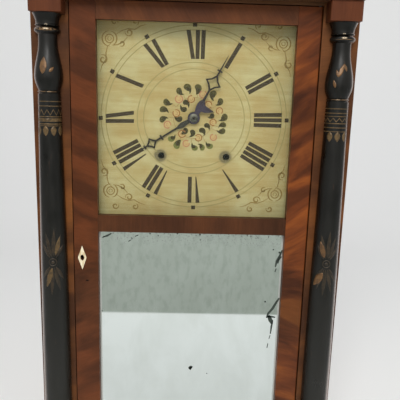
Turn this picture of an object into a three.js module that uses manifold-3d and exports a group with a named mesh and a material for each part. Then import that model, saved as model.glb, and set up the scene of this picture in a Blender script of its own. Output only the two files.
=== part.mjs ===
// Weight-driven shelf clock with half columns, a painted dial and a looking-glass door.
// Millimetres, +Z up, X to the viewer's right, Y from the door's face towards the back.
// The origin is at the middle of the footprint, on the surface that the clock stands on.

import * as THREE from "three";
import { mergeVertices } from "three/addons/utils/BufferGeometryUtils.js";
import Module from "manifold-3d";

const wasm = await Module();
wasm.setup();

// Fits and drawing values
const seatGap = 0.3;        // between fixed pieces that touch
const runGap = 0.4;         // round a turning pivot
const endShake = 0.5;       // beside a turning wheel or arbor
const overrun = 1;          // how far a cut passes the face it opens
const columnSides = 14;
const roundSides = 12;
const smallSides = 10;
const pivotSides = 8;

// Case
const caseWidth = 438;
const caseDepth = 112;          // from the door's face to the back
const sideThickness = 12;
const backThickness = 8;
const stileWidth = 49.7;        // upright behind each column
const stileThickness = 18.5;
const baseThickness = 22;
const corniceThickness = 20;
const headHeight = 4;           // strip of the cornice board that comes down between the stiles
const frontOverhang = 30;       // cornice and base beyond the door's face
const baseOverhang = 12;        // base beyond the case's side
const mouldStep = 3.5;          // how far the moulded edge draws back
const mouldFillet = 7;          // height of the square fillet above the mould

// Corner blocks and half columns
const blockWidth = 42;
const blockHeight = 25.3;
const blockProjection = 24;
const blockReveal = 3.4;        // stile left bare beside a block
const blockChamfer = 1;
const columnLength = 673;
const columnInset = 22.9;       // from the case's side to the column's axis
const columnForward = 3;        // column's axis in front of the stile
const capitalRadius = 18.8;
const capitalWaist = 14.9;
const capitalHeight = 12.6;
const beadRadius = 15.8;
const beadHeight = 2.6;
const ringRadius = 17;
const ringHeight = 6.8;
const ringGroove = 1.6;         // narrow groove above and below the ring
const grooveRadius = 13.4;
const neckRadius = 12.3;
const neckHeight = 8;
const swellRadius = 18.8;
const swellRise = 46;           // neck to the fullest part of the vase
const swellFall = 18.5;           // fullest part to the foot of the vase
const vaseFoot = 14;
const lowBeadRadius = 15.4;
const lowBeadHeight = 2.6;
const shaftTopRadius = 15;
const shaftFootRadius = 20;     // the shaft swells downwards in a long curve
const footShare = 1.08;         // turnings at the foot, to those at the top

// Door
const doorGap = 1.2;            // at each side of the door
const doorEndGap = 1.5;         // above and below the door
const doorThickness = 19;
const leftStileWidth = 34.4;
const rightStileWidth = 31.8;
const topRailHeight = 24.1;
const dialOpeningHeight = 266.6;
const middleRailHeight = 24.1;
const bottomRailHeight = 28.5;
const rabbetWidth = 7;
const rabbetDepth = 8;
const tenonLength = 18;
const tenonThickness = 5;
const tenonShoulder = 4;
const glassThickness = 2;
const glassPlay = 0.5;          // edge of the glass to the rabbet
const mirrorThickness = 2.4;
const mirrorBackThickness = 3.4;
const hingeInset = 3.5;         // pin's axis from the door's edge and face
const hingePinRadius = 1.6;
const hingePinLength = 8;       // in the door, and as much in the case
const cornerRadius = 2;         // rounded front edge on the hinge side

// Escutcheon and lock
const escutcheonWidth = 12.4;
const escutcheonHeight = 35.8;
const escutcheonThickness = 1.2;
const keyholeWidth = 5.6;
const keyholeHeight = 9;
const keyDrop = 330.2;          // keyhole below the top of the dial opening
const keyInset = 11.2;          // keyhole from the door's edge
const lockWidth = 26;
const lockHeight = 36;
const lockDepth = 8;
const boltWidth = 6;
const boltThickness = 3;
const boltLength = 22;
const boltThrow = 7;

// Dial
const dialWidth = 300;
const dialHeight = 300;
const dialThickness = 8;
const dialSetback = 27;         // painted face behind the door's face
const dialShiftX = 1.2;         // painted centre beside the hands' arbor
const dialDrop = 1.5;           // painted centre below the hands' arbor
const handHoleRadius = 7;
const windingHoleRadius = 5;
const windingSpread = 47.1;     // winding arbor from the middle
const windingDrop = 55;         // winding arbor below the hands' arbor
const hubDrop = 127;            // hands' arbor below the top of the dial opening

// Hands
const handThickness = 1.2;
const minuteBoss = 8.2;
const hourBoss = 9;
const hourPipeRadius = 5.5;
const minuteLength = 98.9;
const hourLength = 88.8;
const handPlay = 1.8;           // between the two hands
const washerRadius = 6.2;
const washerThickness = 2;
const washerTopShare = 0.6;     // of its radius, before the edge slopes
const washerSlopeShare = 0.6;   // of its thickness
const minuteAngle = 28;         // degrees from twelve
const hourAngle = 237.8;

// Movement frame
const plateHalfWidth = 114;
const plateRise = 92;           // above the hands' arbor
const plateFall = 108;          // below the hands' arbor
const plateThickness = 6;
const frontPlateSetback = 56;
const plateSpacing = 35;        // clear space between the plates
const railThickness = 15.7;
const railInside = 111.2;       // rail's inner face from the middle
const railFall = 122;
const railRise = 45;            // rear part, kept below the cords
const railCordGap = 12;
const railFrontRise = 130;      // front part, which carries the dial
const railFrontDepth = 29;
const pillarRadius = 5;
const pillarTenon = 3;
const pillarTop = 82;
const pillarLow = 98;
const pillarTopShare = 0.409;   // of the way from a winding arbor out to its pulley
const pillarLowRight = 100;
const pillarLowLeft = 84;       // clear of the hammer's wire

// Wheels and pinions: teeth, modules and where each arbor stands
const greatTeeth = 54;
const greatPinion = 10;
const centreTeeth = 60;
const thirdPinion = 6;
const centreModule = 1.2;
const thirdTeeth = 54;
const escapePinion = 6;
const thirdModule = 1.07;
const thirdBearing = 83;        // degrees, from the centre arbor
const escapeBearing = 164.2;
const escapeTeeth = 40;
const escapeRadius = 18;
const escapeToothDepth = 2.5;
const cannonLeaves = 10;
const minuteTeeth = 30;
const minutePinion = 8;
const hourTeeth = 32;
const motionModule = 1.2;
const motionBearing = -60;
const strikeModule = 1.75;
const pinTeeth = 48;
const pinPinion = 10;
const pinModule = 1.2;
const lockingPinion = 6;
const lockingTeeth = 42;
const flyPinion = 6;
const lockingModule = 1.07;
const countTeeth = 78;
const countPinion = 8;
const countModule = 0.8;
const pinBearing = 114.1;
const lockingBearing = 80;
const flyBearing = 60;
const countBearing = 100;
const hourBlows = [1, 2, 3, 4, 5, 6, 7, 8, 9, 10, 11, 12];
const wheelThickness = 4;
const greatThickness = 5;
const thinWheel = 3;
const pinionFace = 6;
const arborRadius = 2;
const cannonRadius = 3;         // pipe round the centre arbor, inside the hour wheel's
const pivotRadius = 1.5;
const hubRadius = 6;
const addendumShare = 1;
const leafAddendumShare = 0.9;
const dedendumShare = 1.3;
const leafRootShare = 0.55;
const leafTipShare = 0.16;

// Depths of the wheels behind the door's face, in a movement drawn at its own depth. The case
// draws it out or in, so that it always fills the space from the arbor's nose to the backboard.
const movementDepth = 86.8;
const greatPlane = 65;
const centrePlane = 73;
const thirdPlane = 82;
const escapePlane = 49;
const strikeGreatPlane = 89;
const pinPlane = 81;
const lockingPlane = 70;
const flyPlane = 76;
const countPlane = 50;
const hourPlane = 38;
const cannonPlane = 43;

// Drums, winding arbors and strike work
const drumRadius = 13;
const drumFlange = 19;
const flangeThickness = 2;
const drumLength = 22;
const drumPlane = 73;           // time drum
const strikeDrumPlane = 64.2;
const ratchetRadius = 17;
const ratchetTeeth = 12;
const ratchetDepth = 2.4;
const ratchetThickness = 2;
const ratchetSlope = 7.5;       // degrees from a ratchet tooth's tip to its root
const windingArborRadius = 3.2;
const windingSquare = 5;
const windingSquareLength = 14;
const windingSetback = 36;      // end of the winding square
const clickLength = 9;
const clickWidth = 3;
const clickThickness = 2;
const pinCircle = 20;
const pinRadius = 1.2;
const pinSides = 6;
const pinLength = 3.2;
const pinCount = 8;
const vaneReach = 18;
const vaneLength = 14;
const vaneThickness = 1.5;
const countRing = 26;
const countRingWidth = 3;
const countRingDepth = 2.5;
const countSlot = 1.6;
const hammerX = 98;             // hammer arbor left of the middle
const hammerDrop = 42;
const hammerFall = 108;         // arbor to the hammer's head
const hammerTail = 27.5;
const hammerTailRise = 14;
const hammerWire = 1;
const hammerHeadRadius = 6;
const hammerHeadLength = 12;
const hammerPlane = 87;
const bellRadius = 30;
const bellDepth = 17;
const bellWall = 2;
const bellStrikeGap = 2;
const bellPostRadius = 2.5;
const bellMouth = 80;           // depth of the bell's mouth
const bellCrownShare = 0.6;     // radius of the flat crown
const bellShoulderShare = 0.9;
const bellInnerShoulderShare = 0.88;
const bellInnerCrownShare = 0.55;
const bellShoulderDropShare = 0.35;
const bellInnerDropShare = 0.4;
const bellNutShare = 1.4;       // of the post's radius

// Verge, pendulum
const vergeRise = 25;           // verge's stud above the escape arbor
const palletClear = 1.6;
const palletSpread = 45;        // degrees each side of the top of the escape wheel
const vergeThickness = 2.5;
const vergeBar = 3;
const vergeHubRadius = 3.6;
const crutchLength = 45;
const crutchWidth = 3;
const crutchThickness = 1.2;
const crutchFork = 4;
const pendulumPlane = 46;
const pendulumLength = 248;
const pendulumWire = 0.9;
const eyeRadius = 3.6;
const eyeThickness = 2;
const bobRadius = 24;
const bobThickness = 10;
const bobEdge = 2;
const bobWaistShare = 0.5;      // of the bob's radius, where its faces bend
const bobWaistDepthShare = 0.85;
const ratingNutRadius = 3;
const ratingNutHeight = 4;

// Weights, pulleys and cords
const weightBackGap = 4;        // weight to the backboard
const weightSideRoom = 40;      // side board to the weight's axis
const weightHeight = 130;
const weightChamfer = 3;
const cordPlane = 79;
const weightEyeRadius = 5;
const weightEyeWire = 1.6;
const pulleyDrop = 25.6;        // pulley's axle below the cornice
const pulleyRadius = 15;        // to the middle of the cord
const pulleyFlange = 18;
const pulleyWidth = 8;
const pulleyRim = 1.5;
const axleRadius = 1.5;
const axleLength = 18;
const cheekWidth = 16;
const cheekThickness = 2.5;
const cheekBelow = 6;
const cordRadius = 0.75;
const cordSides = 8;
const cordArcSteps = 7;

// Heights and half widths that follow from the sizes above
const halfCase = caseWidth / 2;
const totalDepth = caseDepth + frontOverhang;
const lowerBlockZ = baseThickness + seatGap;
const columnZ = lowerBlockZ + blockHeight + seatGap;
const upperBlockZ = columnZ + columnLength + seatGap;
const corniceZ = upperBlockZ + blockHeight + seatGap;
const stileInside = halfCase - stileWidth;
const doorHalf = stileInside - doorGap;
const doorZ = baseThickness + doorEndGap;
const headZ = corniceZ - headHeight;
const doorTop = headZ - doorEndGap;
const openingLeft = -doorHalf + leftStileWidth;
const openingRight = doorHalf - rightStileWidth;
const dialOpeningTop = doorTop - topRailHeight;
const dialOpeningZ = dialOpeningTop - dialOpeningHeight;
const mirrorOpeningTop = dialOpeningZ - middleRailHeight;
const mirrorOpeningZ = doorZ + bottomRailHeight;
const hubZ = dialOpeningTop - hubDrop;
const keyX = -doorHalf + keyInset;
const keyZ = dialOpeningTop - keyDrop;
const insideBack = caseDepth - backThickness;
const dialBack = dialSetback + dialThickness;
const frontPlateBack = frontPlateSetback + plateThickness;
const backPlateSetback = frontPlateBack + plateSpacing;
const backPlateBack = backPlateSetback + plateThickness;
const blockInside = stileInside + blockReveal;
const hourHandY = dialSetback - handPlay - handThickness;
const minuteHandY = hourHandY - handPlay - handThickness;
const noseY = minuteHandY - washerThickness - handPlay;
const movementBack = noseY + movementDepth;
const depthFit = (insideBack - noseY) / movementDepth;
const weightPlane = noseY + (cordPlane - noseY) * depthFit;
const weightRadius = insideBack - weightPlane - weightBackGap;
const weightX = halfCase - sideThickness - weightSideRoom;
const pulleySpread = weightX - pulleyRadius;
const pillarTopHalf = windingSpread + (pulleySpread - windingSpread) * pillarTopShare;
const pulleyZ = corniceZ - pulleyDrop;
const cordRunX = pulleySpread - pulleyRadius - windingSpread - drumRadius;
const cordAtRailShare = (railInside - windingSpread - drumRadius) / cordRunX;
const cordAtRail = (pulleyZ - hubZ + windingDrop) * cordAtRailShare - windingDrop;
const railRearRise = Math.min(railRise, cordAtRail - railCordGap);
const blockX = blockInside + blockWidth / 2;
const columnX = halfCase - columnInset;
const hingeX = doorHalf - hingeInset;

// Materials
const mahogany = () => new THREE.MeshStandardMaterial({ color: 0x6b3a22, roughness: 0.38, metalness: 0 });
const crotch = () => new THREE.MeshStandardMaterial({ color: 0x7e4524, roughness: 0.34, metalness: 0 });
const ebonised = () => new THREE.MeshStandardMaterial({ color: 0x1f1f1a, roughness: 0.28, metalness: 0 });
const pine = () => new THREE.MeshStandardMaterial({ color: 0x9c7648, roughness: 0.75, metalness: 0 });
const cherry = () => new THREE.MeshStandardMaterial({ color: 0x9a6238, roughness: 0.6, metalness: 0 });
const oak = () => new THREE.MeshStandardMaterial({ color: 0xa8814f, roughness: 0.7, metalness: 0 });
const dialPaint = () => new THREE.MeshStandardMaterial({ color: 0xcabb86, roughness: 0.55, metalness: 0 });
const brass = () => new THREE.MeshStandardMaterial({ color: 0xb08d45, roughness: 0.35, metalness: 1 });
const steel = () => new THREE.MeshStandardMaterial({ color: 0x74767a, roughness: 0.4, metalness: 1 });
const blued = () => new THREE.MeshStandardMaterial({ color: 0x1c2026, roughness: 0.35, metalness: 0.6 });
const castIron = () => new THREE.MeshStandardMaterial({ color: 0x3a3734, roughness: 0.7, metalness: 0.5 });
const bone = () => new THREE.MeshStandardMaterial({ color: 0xe6dcc0, roughness: 0.45, metalness: 0 });
const cordFibre = () => new THREE.MeshStandardMaterial({ color: 0xb9a88a, roughness: 0.9, metalness: 0 });
const silvered = () => new THREE.MeshStandardMaterial({ color: 0xa9b3a8, roughness: 0.08, metalness: 1 });
const clearGlass = () =>
  new THREE.MeshStandardMaterial({ color: 0xdfe8e4, roughness: 0.05, metalness: 0, transparent: true, opacity: 0.25 });

// Solids: three.js shapes turned into closed bodies that can be joined and cut
function toSolid(geometry) {
  const bare = geometry.index ? geometry.toNonIndexed() : geometry.clone();
  bare.deleteAttribute("normal");
  bare.deleteAttribute("uv");
  const merged = mergeVertices(bare, 1e-4);
  return new wasm.Manifold(new wasm.Mesh({
    numProp: 3,
    vertProperties: new Float32Array(merged.attributes.position.array),
    triVerts: new Uint32Array(merged.index.array),
  }));
}

function toGeometry(solid) {
  const mesh = solid.getMesh();
  const geometry = new THREE.BufferGeometry();
  geometry.setAttribute("position", new THREE.BufferAttribute(new Float32Array(mesh.vertProperties), 3));
  geometry.setIndex(new THREE.BufferAttribute(new Uint32Array(mesh.triVerts), 1));
  geometry.computeVertexNormals();
  return geometry;
}

function join(first, ...others) {
  return others.reduce((sum, next) => sum.add(next), first);
}

function cut(first, ...tools) {
  return tools.reduce((rest, tool) => rest.subtract(tool), first);
}

function box(x0, x1, y0, y1, z0, z1) {
  const geometry = new THREE.BoxGeometry(x1 - x0, y1 - y0, z1 - z0);
  geometry.translate((x0 + x1) / 2, (y0 + y1) / 2, (z0 + z1) / 2);
  return toSolid(geometry);
}

// A round bar along Y, or along Z when it is told so
function barY(x, z, y0, y1, radius, sides = smallSides) {
  const geometry = new THREE.CylinderGeometry(radius, radius, y1 - y0, sides);
  geometry.translate(x, (y0 + y1) / 2, z);
  return toSolid(geometry);
}

function barZ(x, y, z0, z1, radius, sides = smallSides) {
  const geometry = new THREE.CylinderGeometry(radius, radius, z1 - z0, sides);
  geometry.rotateX(Math.PI / 2);
  geometry.translate(x, y, (z0 + z1) / 2);
  return toSolid(geometry);
}

// Points [radius, along] turned about an axis along Y
function turnedY(profile, sides = roundSides) {
  const points = profile.map(([radius, along]) => new THREE.Vector2(radius, along));
  return new THREE.LatheGeometry(points, sides);
}

function turnedSolidY(profile, sides = roundSides) {
  return toSolid(facingOut(turnedY(profile, sides)));
}

// A lathe profile may run either way, so its faces are turned outwards when they point in
function facingOut(geometry) {
  const flat = geometry.index ? geometry.toNonIndexed() : geometry;
  const at = flat.attributes.position;
  const a = new THREE.Vector3();
  const b = new THREE.Vector3();
  const c = new THREE.Vector3();
  let volume = 0;
  for (let i = 0; i < at.count; i += 3) {
    a.fromBufferAttribute(at, i);
    b.fromBufferAttribute(at, i + 1);
    c.fromBufferAttribute(at, i + 2);
    volume += a.dot(b.cross(c));
  }
  if (volume < 0) {
    for (let i = 0; i < at.count; i += 3) {
      a.fromBufferAttribute(at, i);
      b.fromBufferAttribute(at, i + 1);
      at.setXYZ(i, b.x, b.y, b.z);
      at.setXYZ(i + 1, a.x, a.y, a.z);
    }
  }
  return flat;
}

// An outline of [x, z] points, seen from the front, given a depth from y0 to y1
function slabXZ(outline, y0, y1, holes = []) {
  const shape = new THREE.Shape(outline.map(([x, z]) => new THREE.Vector2(x, z)));
  holes.forEach((hole) => shape.holes.push(new THREE.Path(hole.map(([x, z]) => new THREE.Vector2(x, z)))));
  const geometry = new THREE.ExtrudeGeometry(shape, { depth: y1 - y0, bevelEnabled: false });
  geometry.rotateX(Math.PI / 2);
  geometry.translate(0, y1, 0);
  return toSolid(geometry);
}

// An outline of [y, z] points, seen from the right side, drawn out from x0 to x1
function slabYZ(outline, x0, x1) {
  const shape = new THREE.Shape(outline.map(([y, z]) => new THREE.Vector2(y, z)));
  const geometry = new THREE.ExtrudeGeometry(shape, { depth: x1 - x0, bevelEnabled: false });
  geometry.rotateX(Math.PI / 2);
  geometry.rotateZ(Math.PI / 2);
  geometry.translate(x0, 0, 0);
  return toSolid(geometry);
}

// An outline of [x, y] points, seen from above, raised from z0 to z1
function slabXY(outline, z0, z1) {
  const shape = new THREE.Shape(outline.map(([x, y]) => new THREE.Vector2(x, y)));
  const geometry = new THREE.ExtrudeGeometry(shape, { depth: z1 - z0, bevelEnabled: false });
  geometry.translate(0, 0, z0);
  return toSolid(geometry);
}

function ring(x, z, radius, sides, turn = 0) {
  const points = [];
  for (let k = 0; k < sides; k += 1) {
    const angle = turn + (2 * Math.PI * k) / sides;
    points.push([x + radius * Math.cos(angle), z + radius * Math.sin(angle)]);
  }
  return points;
}

function degrees(value) {
  return (value * Math.PI) / 180;
}

function atBearing([x, z], distance, bearing) {
  return [x + distance * Math.cos(degrees(bearing)), z + distance * Math.sin(degrees(bearing))];
}

function bearingOf([x0, z0], [x1, z1]) {
  return Math.atan2(z1 - z0, x1 - x0);
}

function distanceOf([x0, z0], [x1, z1]) {
  return Math.hypot(x1 - x0, z1 - z0);
}

// Case boards
function sideBoard() {
  return box(0, sideThickness, stileThickness + seatGap, caseDepth, lowerBlockZ, corniceZ - seatGap);
}

function frontStile() {
  return box(0, stileWidth, 0, stileThickness, lowerBlockZ, corniceZ - seatGap);
}

function backBoard() {
  const half = halfCase - sideThickness - seatGap;
  return box(-half, half, insideBack, caseDepth, lowerBlockZ, corniceZ - seatGap);
}

// A board whose front and ends carry one moulded edge: the front profile and the end
// profile are drawn out across each other, and what they share has mitred corners.
function mouldedBoard(thickness, fillet, overhang) {
  const half = halfCase + overhang;
  const edge = [];
  const steps = 5;
  for (let k = 0; k <= steps; k += 1) {
    const turn = (k / steps) * (Math.PI / 2);
    edge.push([mouldStep * (1 - Math.cos(turn)), (thickness - fillet) * (1 - Math.sin(turn))]);
  }
  const front = [[-frontOverhang, thickness], [-frontOverhang, thickness - fillet]];
  edge.slice(1).forEach(([inwards, height]) => front.push([-frontOverhang + inwards, height]));
  front.push([caseDepth, 0], [caseDepth, thickness]);
  const ends = [[half, thickness], [-half, thickness], [-half, thickness - fillet]];
  edge.slice(1).forEach(([inwards, height]) => ends.push([-half + inwards, height]));
  edge.slice(1).reverse().forEach(([inwards, height]) => ends.push([half - inwards, height]));
  ends.push([half, thickness - fillet]);
  const along = slabYZ(front, -half, half);
  const across = slabXZ(ends, -frontOverhang, caseDepth);
  return along.intersect(across);
}

// The top board ends flush with the case. It has a head strip above the door, and carries the wooden
// cheeks in which the two cord pulleys turn.
function corniceBoard() {
  let board = mouldedBoard(corniceThickness, mouldFillet, 0).translate([0, 0, corniceZ]);
  const headHalf = stileInside - seatGap;
  board = join(board, box(-headHalf, headHalf, 0, stileThickness, headZ, corniceZ + overrun));
  const reach = pulleyWidth / 2 + endShake;
  for (const side of [-1, 1]) {
    const x = side * pulleySpread;
    for (const way of [-1, 1]) {
      const near = weightPlane + way * reach;
      const far = near + way * cheekThickness;
      const y0 = Math.min(near, far);
      const y1 = Math.max(near, far);
      const cheek = box(x - cheekWidth / 2, x + cheekWidth / 2, y0, y1, pulleyZ - cheekBelow, corniceZ + overrun);
      const bore = barY(x, pulleyZ, y0 - overrun, y1 + overrun, axleRadius + runGap);
      board = join(board, cut(cheek, bore));
    }
  }
  return cut(board, barZ(hingeX, hingeInset, headZ - overrun, headZ + hingePinLength, hingePinRadius + seatGap));
}

function baseBoard() {
  const board = mouldedBoard(baseThickness, mouldFillet, baseOverhang)
    .mirror([0, 0, 1])
    .translate([0, 0, baseThickness]);
  const bore = barZ(hingeX, hingeInset, baseThickness - hingePinLength, baseThickness + overrun,
    hingePinRadius + seatGap);
  return cut(board, bore);
}

function hingePin() {
  return barZ(0, 0, -hingePinLength + seatGap, hingePinLength - seatGap, hingePinRadius);
}

// Corner block with its front edges eased
function cornerBlock() {
  const half = blockWidth / 2;
  const front = -blockProjection;
  const outline = [
    [-half, -seatGap],
    [-half, front + blockChamfer],
    [-half + blockChamfer, front],
    [half - blockChamfer, front],
    [half, front + blockChamfer],
    [half, -seatGap],
  ];
  return slabXY(outline, 0, blockHeight);
}

// Turned profile of one end of a column, from the block inwards, as [radius, distance]
function columnEnd() {
  const profile = [];
  const flareShares = [0, 0.5, 1];
  let along = 0;
  flareShares.forEach((share) => {
    profile.push([capitalRadius - (capitalRadius - capitalWaist) * Math.sin((share * Math.PI) / 2),
      capitalHeight * share]);
  });
  along = capitalHeight + ringGroove / 2;
  profile.push([capitalWaist, along]);
  profile.push([beadRadius, along + beadHeight / 2]);
  profile.push([capitalWaist, along + beadHeight]);
  along += beadHeight;
  profile.push([grooveRadius, along + ringGroove / 2]);
  along += ringGroove;
  for (const share of [0, 0.5, 1]) {
    const bulge = Math.sin(share * Math.PI);
    profile.push([capitalWaist + (ringRadius - capitalWaist) * bulge, along + ringHeight * share]);
  }
  along += ringHeight + ringGroove;
  profile.push([neckRadius, along]);
  along += neckHeight;
  profile.push([neckRadius, along]);
  for (const share of [0.35, 0.7, 1]) {
    const rise = (1 - Math.cos(share * Math.PI)) / 2;
    profile.push([neckRadius + (swellRadius - neckRadius) * rise, along + swellRise * share]);
  }
  along += swellRise;
  for (const share of [0.55, 1]) {
    const fall = (1 - Math.cos(share * Math.PI)) / 2;
    profile.push([swellRadius - (swellRadius - vaseFoot) * fall, along + swellFall * share]);
  }
  along += swellFall;
  profile.push([lowBeadRadius, along + lowBeadHeight / 2]);
  profile.push([vaseFoot, along + lowBeadHeight]);
  return profile;
}

// Whole turned profile, foot first: fuller turnings below, a swelling shaft, then the upper turnings.
// The foot's edge keeps the capital's radius, so that it stays on its block.
function columnProfile() {
  const end = columnEnd();
  const foot = end.map(([radius, along]) => [along > 0 ? radius * footShare : radius, along]);
  const top = end.map(([radius, along]) => [radius, columnLength - along]).reverse();
  const shaftStart = end.at(-1)[1] + ringGroove;
  const shaft = [0, 0.3, 0.55, 0.78, 1].map((share) => [
    shaftFootRadius - (shaftFootRadius - shaftTopRadius) * (1 - Math.cos((share * Math.PI) / 2)),
    shaftStart + (columnLength - 2 * shaftStart) * share,
  ]);
  return [[0, 0], ...foot, ...shaft, ...top, [0, columnLength]];
}

// Half column: turned whole, then split so that its back lies flat on the stile
function halfColumn() {
  const turned = facingOut(turnedY(columnProfile(), columnSides));
  turned.rotateX(Math.PI / 2);
  const reach = Math.max(shaftFootRadius, swellRadius * footShare) + overrun;
  const waste = box(-reach, reach, columnForward - seatGap, reach, -overrun, columnLength + overrun);
  return cut(toSolid(turned), waste);
}

// Door frame: stiles are mortised, rails are tenoned, and both are rabbeted for glass
function tenonBox(x0, x1, z0, z1, play) {
  const y0 = tenonThickness - play;
  return box(x0 - play, x1 + play, y0, y0 + tenonThickness + 2 * play, z0 + tenonShoulder - play,
    z1 - tenonShoulder + play);
}

const railSpans = [
  [dialOpeningTop, doorTop],
  [mirrorOpeningTop, dialOpeningZ],
  [doorZ, mirrorOpeningZ],
];

function doorStile(side, width) {
  const edge = side * doorHalf;
  const inner = edge - side * width;
  const x0 = Math.min(edge, inner);
  const x1 = Math.max(edge, inner);
  let outline = [[x0, 0], [x1, 0], [x1, doorThickness], [x0, doorThickness]];
  if (side > 0) {
    const turns = [0, 0.25, 0.5, 0.75, 1].map((share) => (share * Math.PI) / 2);
    const corner = turns.map((turn) => [
      x1 - cornerRadius + cornerRadius * Math.sin(turn),
      cornerRadius - cornerRadius * Math.cos(turn),
    ]);
    outline = [[x0, 0], ...corner, [x1, doorThickness], [x0, doorThickness]];
  }
  let stile = slabXY(outline, doorZ, doorTop);
  for (const [z0, z1] of [[dialOpeningZ, dialOpeningTop], [mirrorOpeningZ, mirrorOpeningTop]]) {
    const near = inner - side * overrun;
    const far = inner + side * rabbetWidth;
    stile = cut(stile, box(Math.min(near, far), Math.max(near, far), doorThickness - rabbetDepth,
      doorThickness + overrun, z0 - rabbetWidth, z1 + rabbetWidth));
  }
  for (const [z0, z1] of railSpans) {
    const near = inner - side * overrun;
    const far = inner + side * tenonLength;
    stile = cut(stile, tenonBox(Math.min(near, far), Math.max(near, far), z0, z1, seatGap));
  }
  return stile;
}

function leftDoorStile() {
  const pocket = diamond(escutcheonWidth / 2 + seatGap, escutcheonHeight / 2 + seatGap);
  const keyhole = ellipse(keyholeWidth / 2, keyholeHeight / 2);
  return cut(
    doorStile(-1, leftStileWidth),
    slabXZ(moved(pocket, keyX, keyZ), -overrun, escutcheonThickness),
    slabXZ(moved(keyhole, keyX, keyZ), -overrun, doorThickness + overrun),
  );
}

function rightDoorStile() {
  const radius = hingePinRadius + seatGap;
  return cut(
    doorStile(1, rightStileWidth),
    barZ(hingeX, hingeInset, doorTop - hingePinLength, doorTop + overrun, radius),
    barZ(hingeX, hingeInset, doorZ - overrun, doorZ + hingePinLength, radius),
  );
}

function doorRail(z0, z1, rabbetBelow, rabbetAbove) {
  const x0 = openingLeft + seatGap;
  const x1 = openingRight - seatGap;
  let rail = box(x0, x1, 0, doorThickness, z0, z1);
  const y0 = doorThickness - rabbetDepth;
  const y1 = doorThickness + overrun;
  if (rabbetBelow) {
    rail = cut(rail, box(x0 - overrun, x1 + overrun, y0, y1, z0 - overrun, z0 + rabbetWidth));
  }
  if (rabbetAbove) {
    rail = cut(rail, box(x0 - overrun, x1 + overrun, y0, y1, z1 - rabbetWidth, z1 + overrun));
  }
  const left = tenonBox(openingLeft - tenonLength + seatGap, x0 + overrun, z0, z1, 0);
  const right = tenonBox(x1 - overrun, openingRight + tenonLength - seatGap, z0, z1, 0);
  return join(rail, left, right);
}

function pane(z0, z1, thickness, setback) {
  const reach = rabbetWidth - glassPlay;
  const y0 = doorThickness - rabbetDepth + setback;
  return box(openingLeft - reach, openingRight + reach, y0, y0 + thickness, z0 - reach, z1 + reach);
}

function diamond(halfWidth, halfHeight) {
  return [[0, halfHeight], [-halfWidth, 0], [0, -halfHeight], [halfWidth, 0]];
}

function ellipse(halfWidth, halfHeight) {
  return ring(0, 0, 1, roundSides).map(([x, z]) => [x * halfWidth, z * halfHeight]);
}

function moved(outline, x, z) {
  return outline.map(([px, pz]) => [px + x, pz + z]);
}

function escutcheon() {
  return slabXZ(diamond(escutcheonWidth / 2, escutcheonHeight / 2), 0, escutcheonThickness - seatGap,
    [ellipse(keyholeWidth / 2, keyholeHeight / 2)]);
}

// Lock: a brass case on the back of the door with a sliding bolt that passes behind the stile
function lockCase() {
  const body = box(-lockWidth / 2, lockWidth / 2, 0, lockDepth, -lockHeight / 2, lockHeight / 2);
  const y0 = (lockDepth - boltThickness) / 2;
  const channel = box(-lockWidth / 2 - overrun, -lockWidth / 2 + boltLength + overrun,
    y0 - seatGap, y0 + boltThickness + seatGap, -boltWidth / 2 - seatGap, boltWidth / 2 + seatGap);
  return cut(body, channel);
}

function lockBolt() {
  const y0 = (lockDepth - boltThickness) / 2;
  return box(-lockWidth / 2, -lockWidth / 2 + boltLength, y0, y0 + boltThickness, -boltWidth / 2, boltWidth / 2);
}

// Dial board with the hand hole and the two winding holes
function dialBoard() {
  const x0 = dialShiftX - dialWidth / 2;
  const x1 = dialShiftX + dialWidth / 2;
  const z0 = -dialDrop - dialHeight / 2;
  const z1 = -dialDrop + dialHeight / 2;
  const holes = [
    ring(0, 0, handHoleRadius, roundSides),
    ring(dialShiftX - windingSpread, -windingDrop, windingHoleRadius, smallSides),
    ring(dialShiftX + windingSpread, -windingDrop, windingHoleRadius, smallSides),
  ];
  return slabXZ([[x0, z0], [x1, z0], [x1, z1], [x0, z1]], dialSetback, dialBack, holes);
}

// Upright rail of the movement: deep behind, and taller in front where it carries the dial
function movementRail() {
  const y0 = dialBack + seatGap;
  const y1 = movementBack - seatGap;
  const outline = [
    [y0, -railFall],
    [y1, -railFall],
    [y1, railRearRise],
    [y0 + railFrontDepth, railRearRise],
    [y0 + railFrontDepth, railFrontRise],
    [y0, railFrontRise],
  ];
  let rail = slabYZ(outline, 0, railThickness);
  const grooveDepth = plateHalfWidth - railInside + seatGap;
  for (const plateY of [frontPlateSetback, backPlateSetback]) {
    rail = cut(rail, box(-overrun, grooveDepth, plateY - seatGap, plateY + plateThickness + seatGap,
      -plateFall - seatGap, railFrontRise + overrun));
  }
  return rail;
}

// Wheel with pointed wooden teeth; its first tooth lies at the angle turn
function wheelOutline(teeth, module, turn) {
  const pitch = (teeth * module) / 2;
  const tip = pitch + module * addendumShare;
  const root = pitch - module * dedendumShare;
  const half = Math.PI / teeth;
  const points = [];
  for (let k = 0; k < teeth; k += 1) {
    const angle = turn + (2 * Math.PI * k) / teeth;
    for (const [radius, offset] of [[tip, 0], [root, half]]) {
      points.push([radius * Math.cos(angle + offset), radius * Math.sin(angle + offset)]);
    }
  }
  return points;
}

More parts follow.
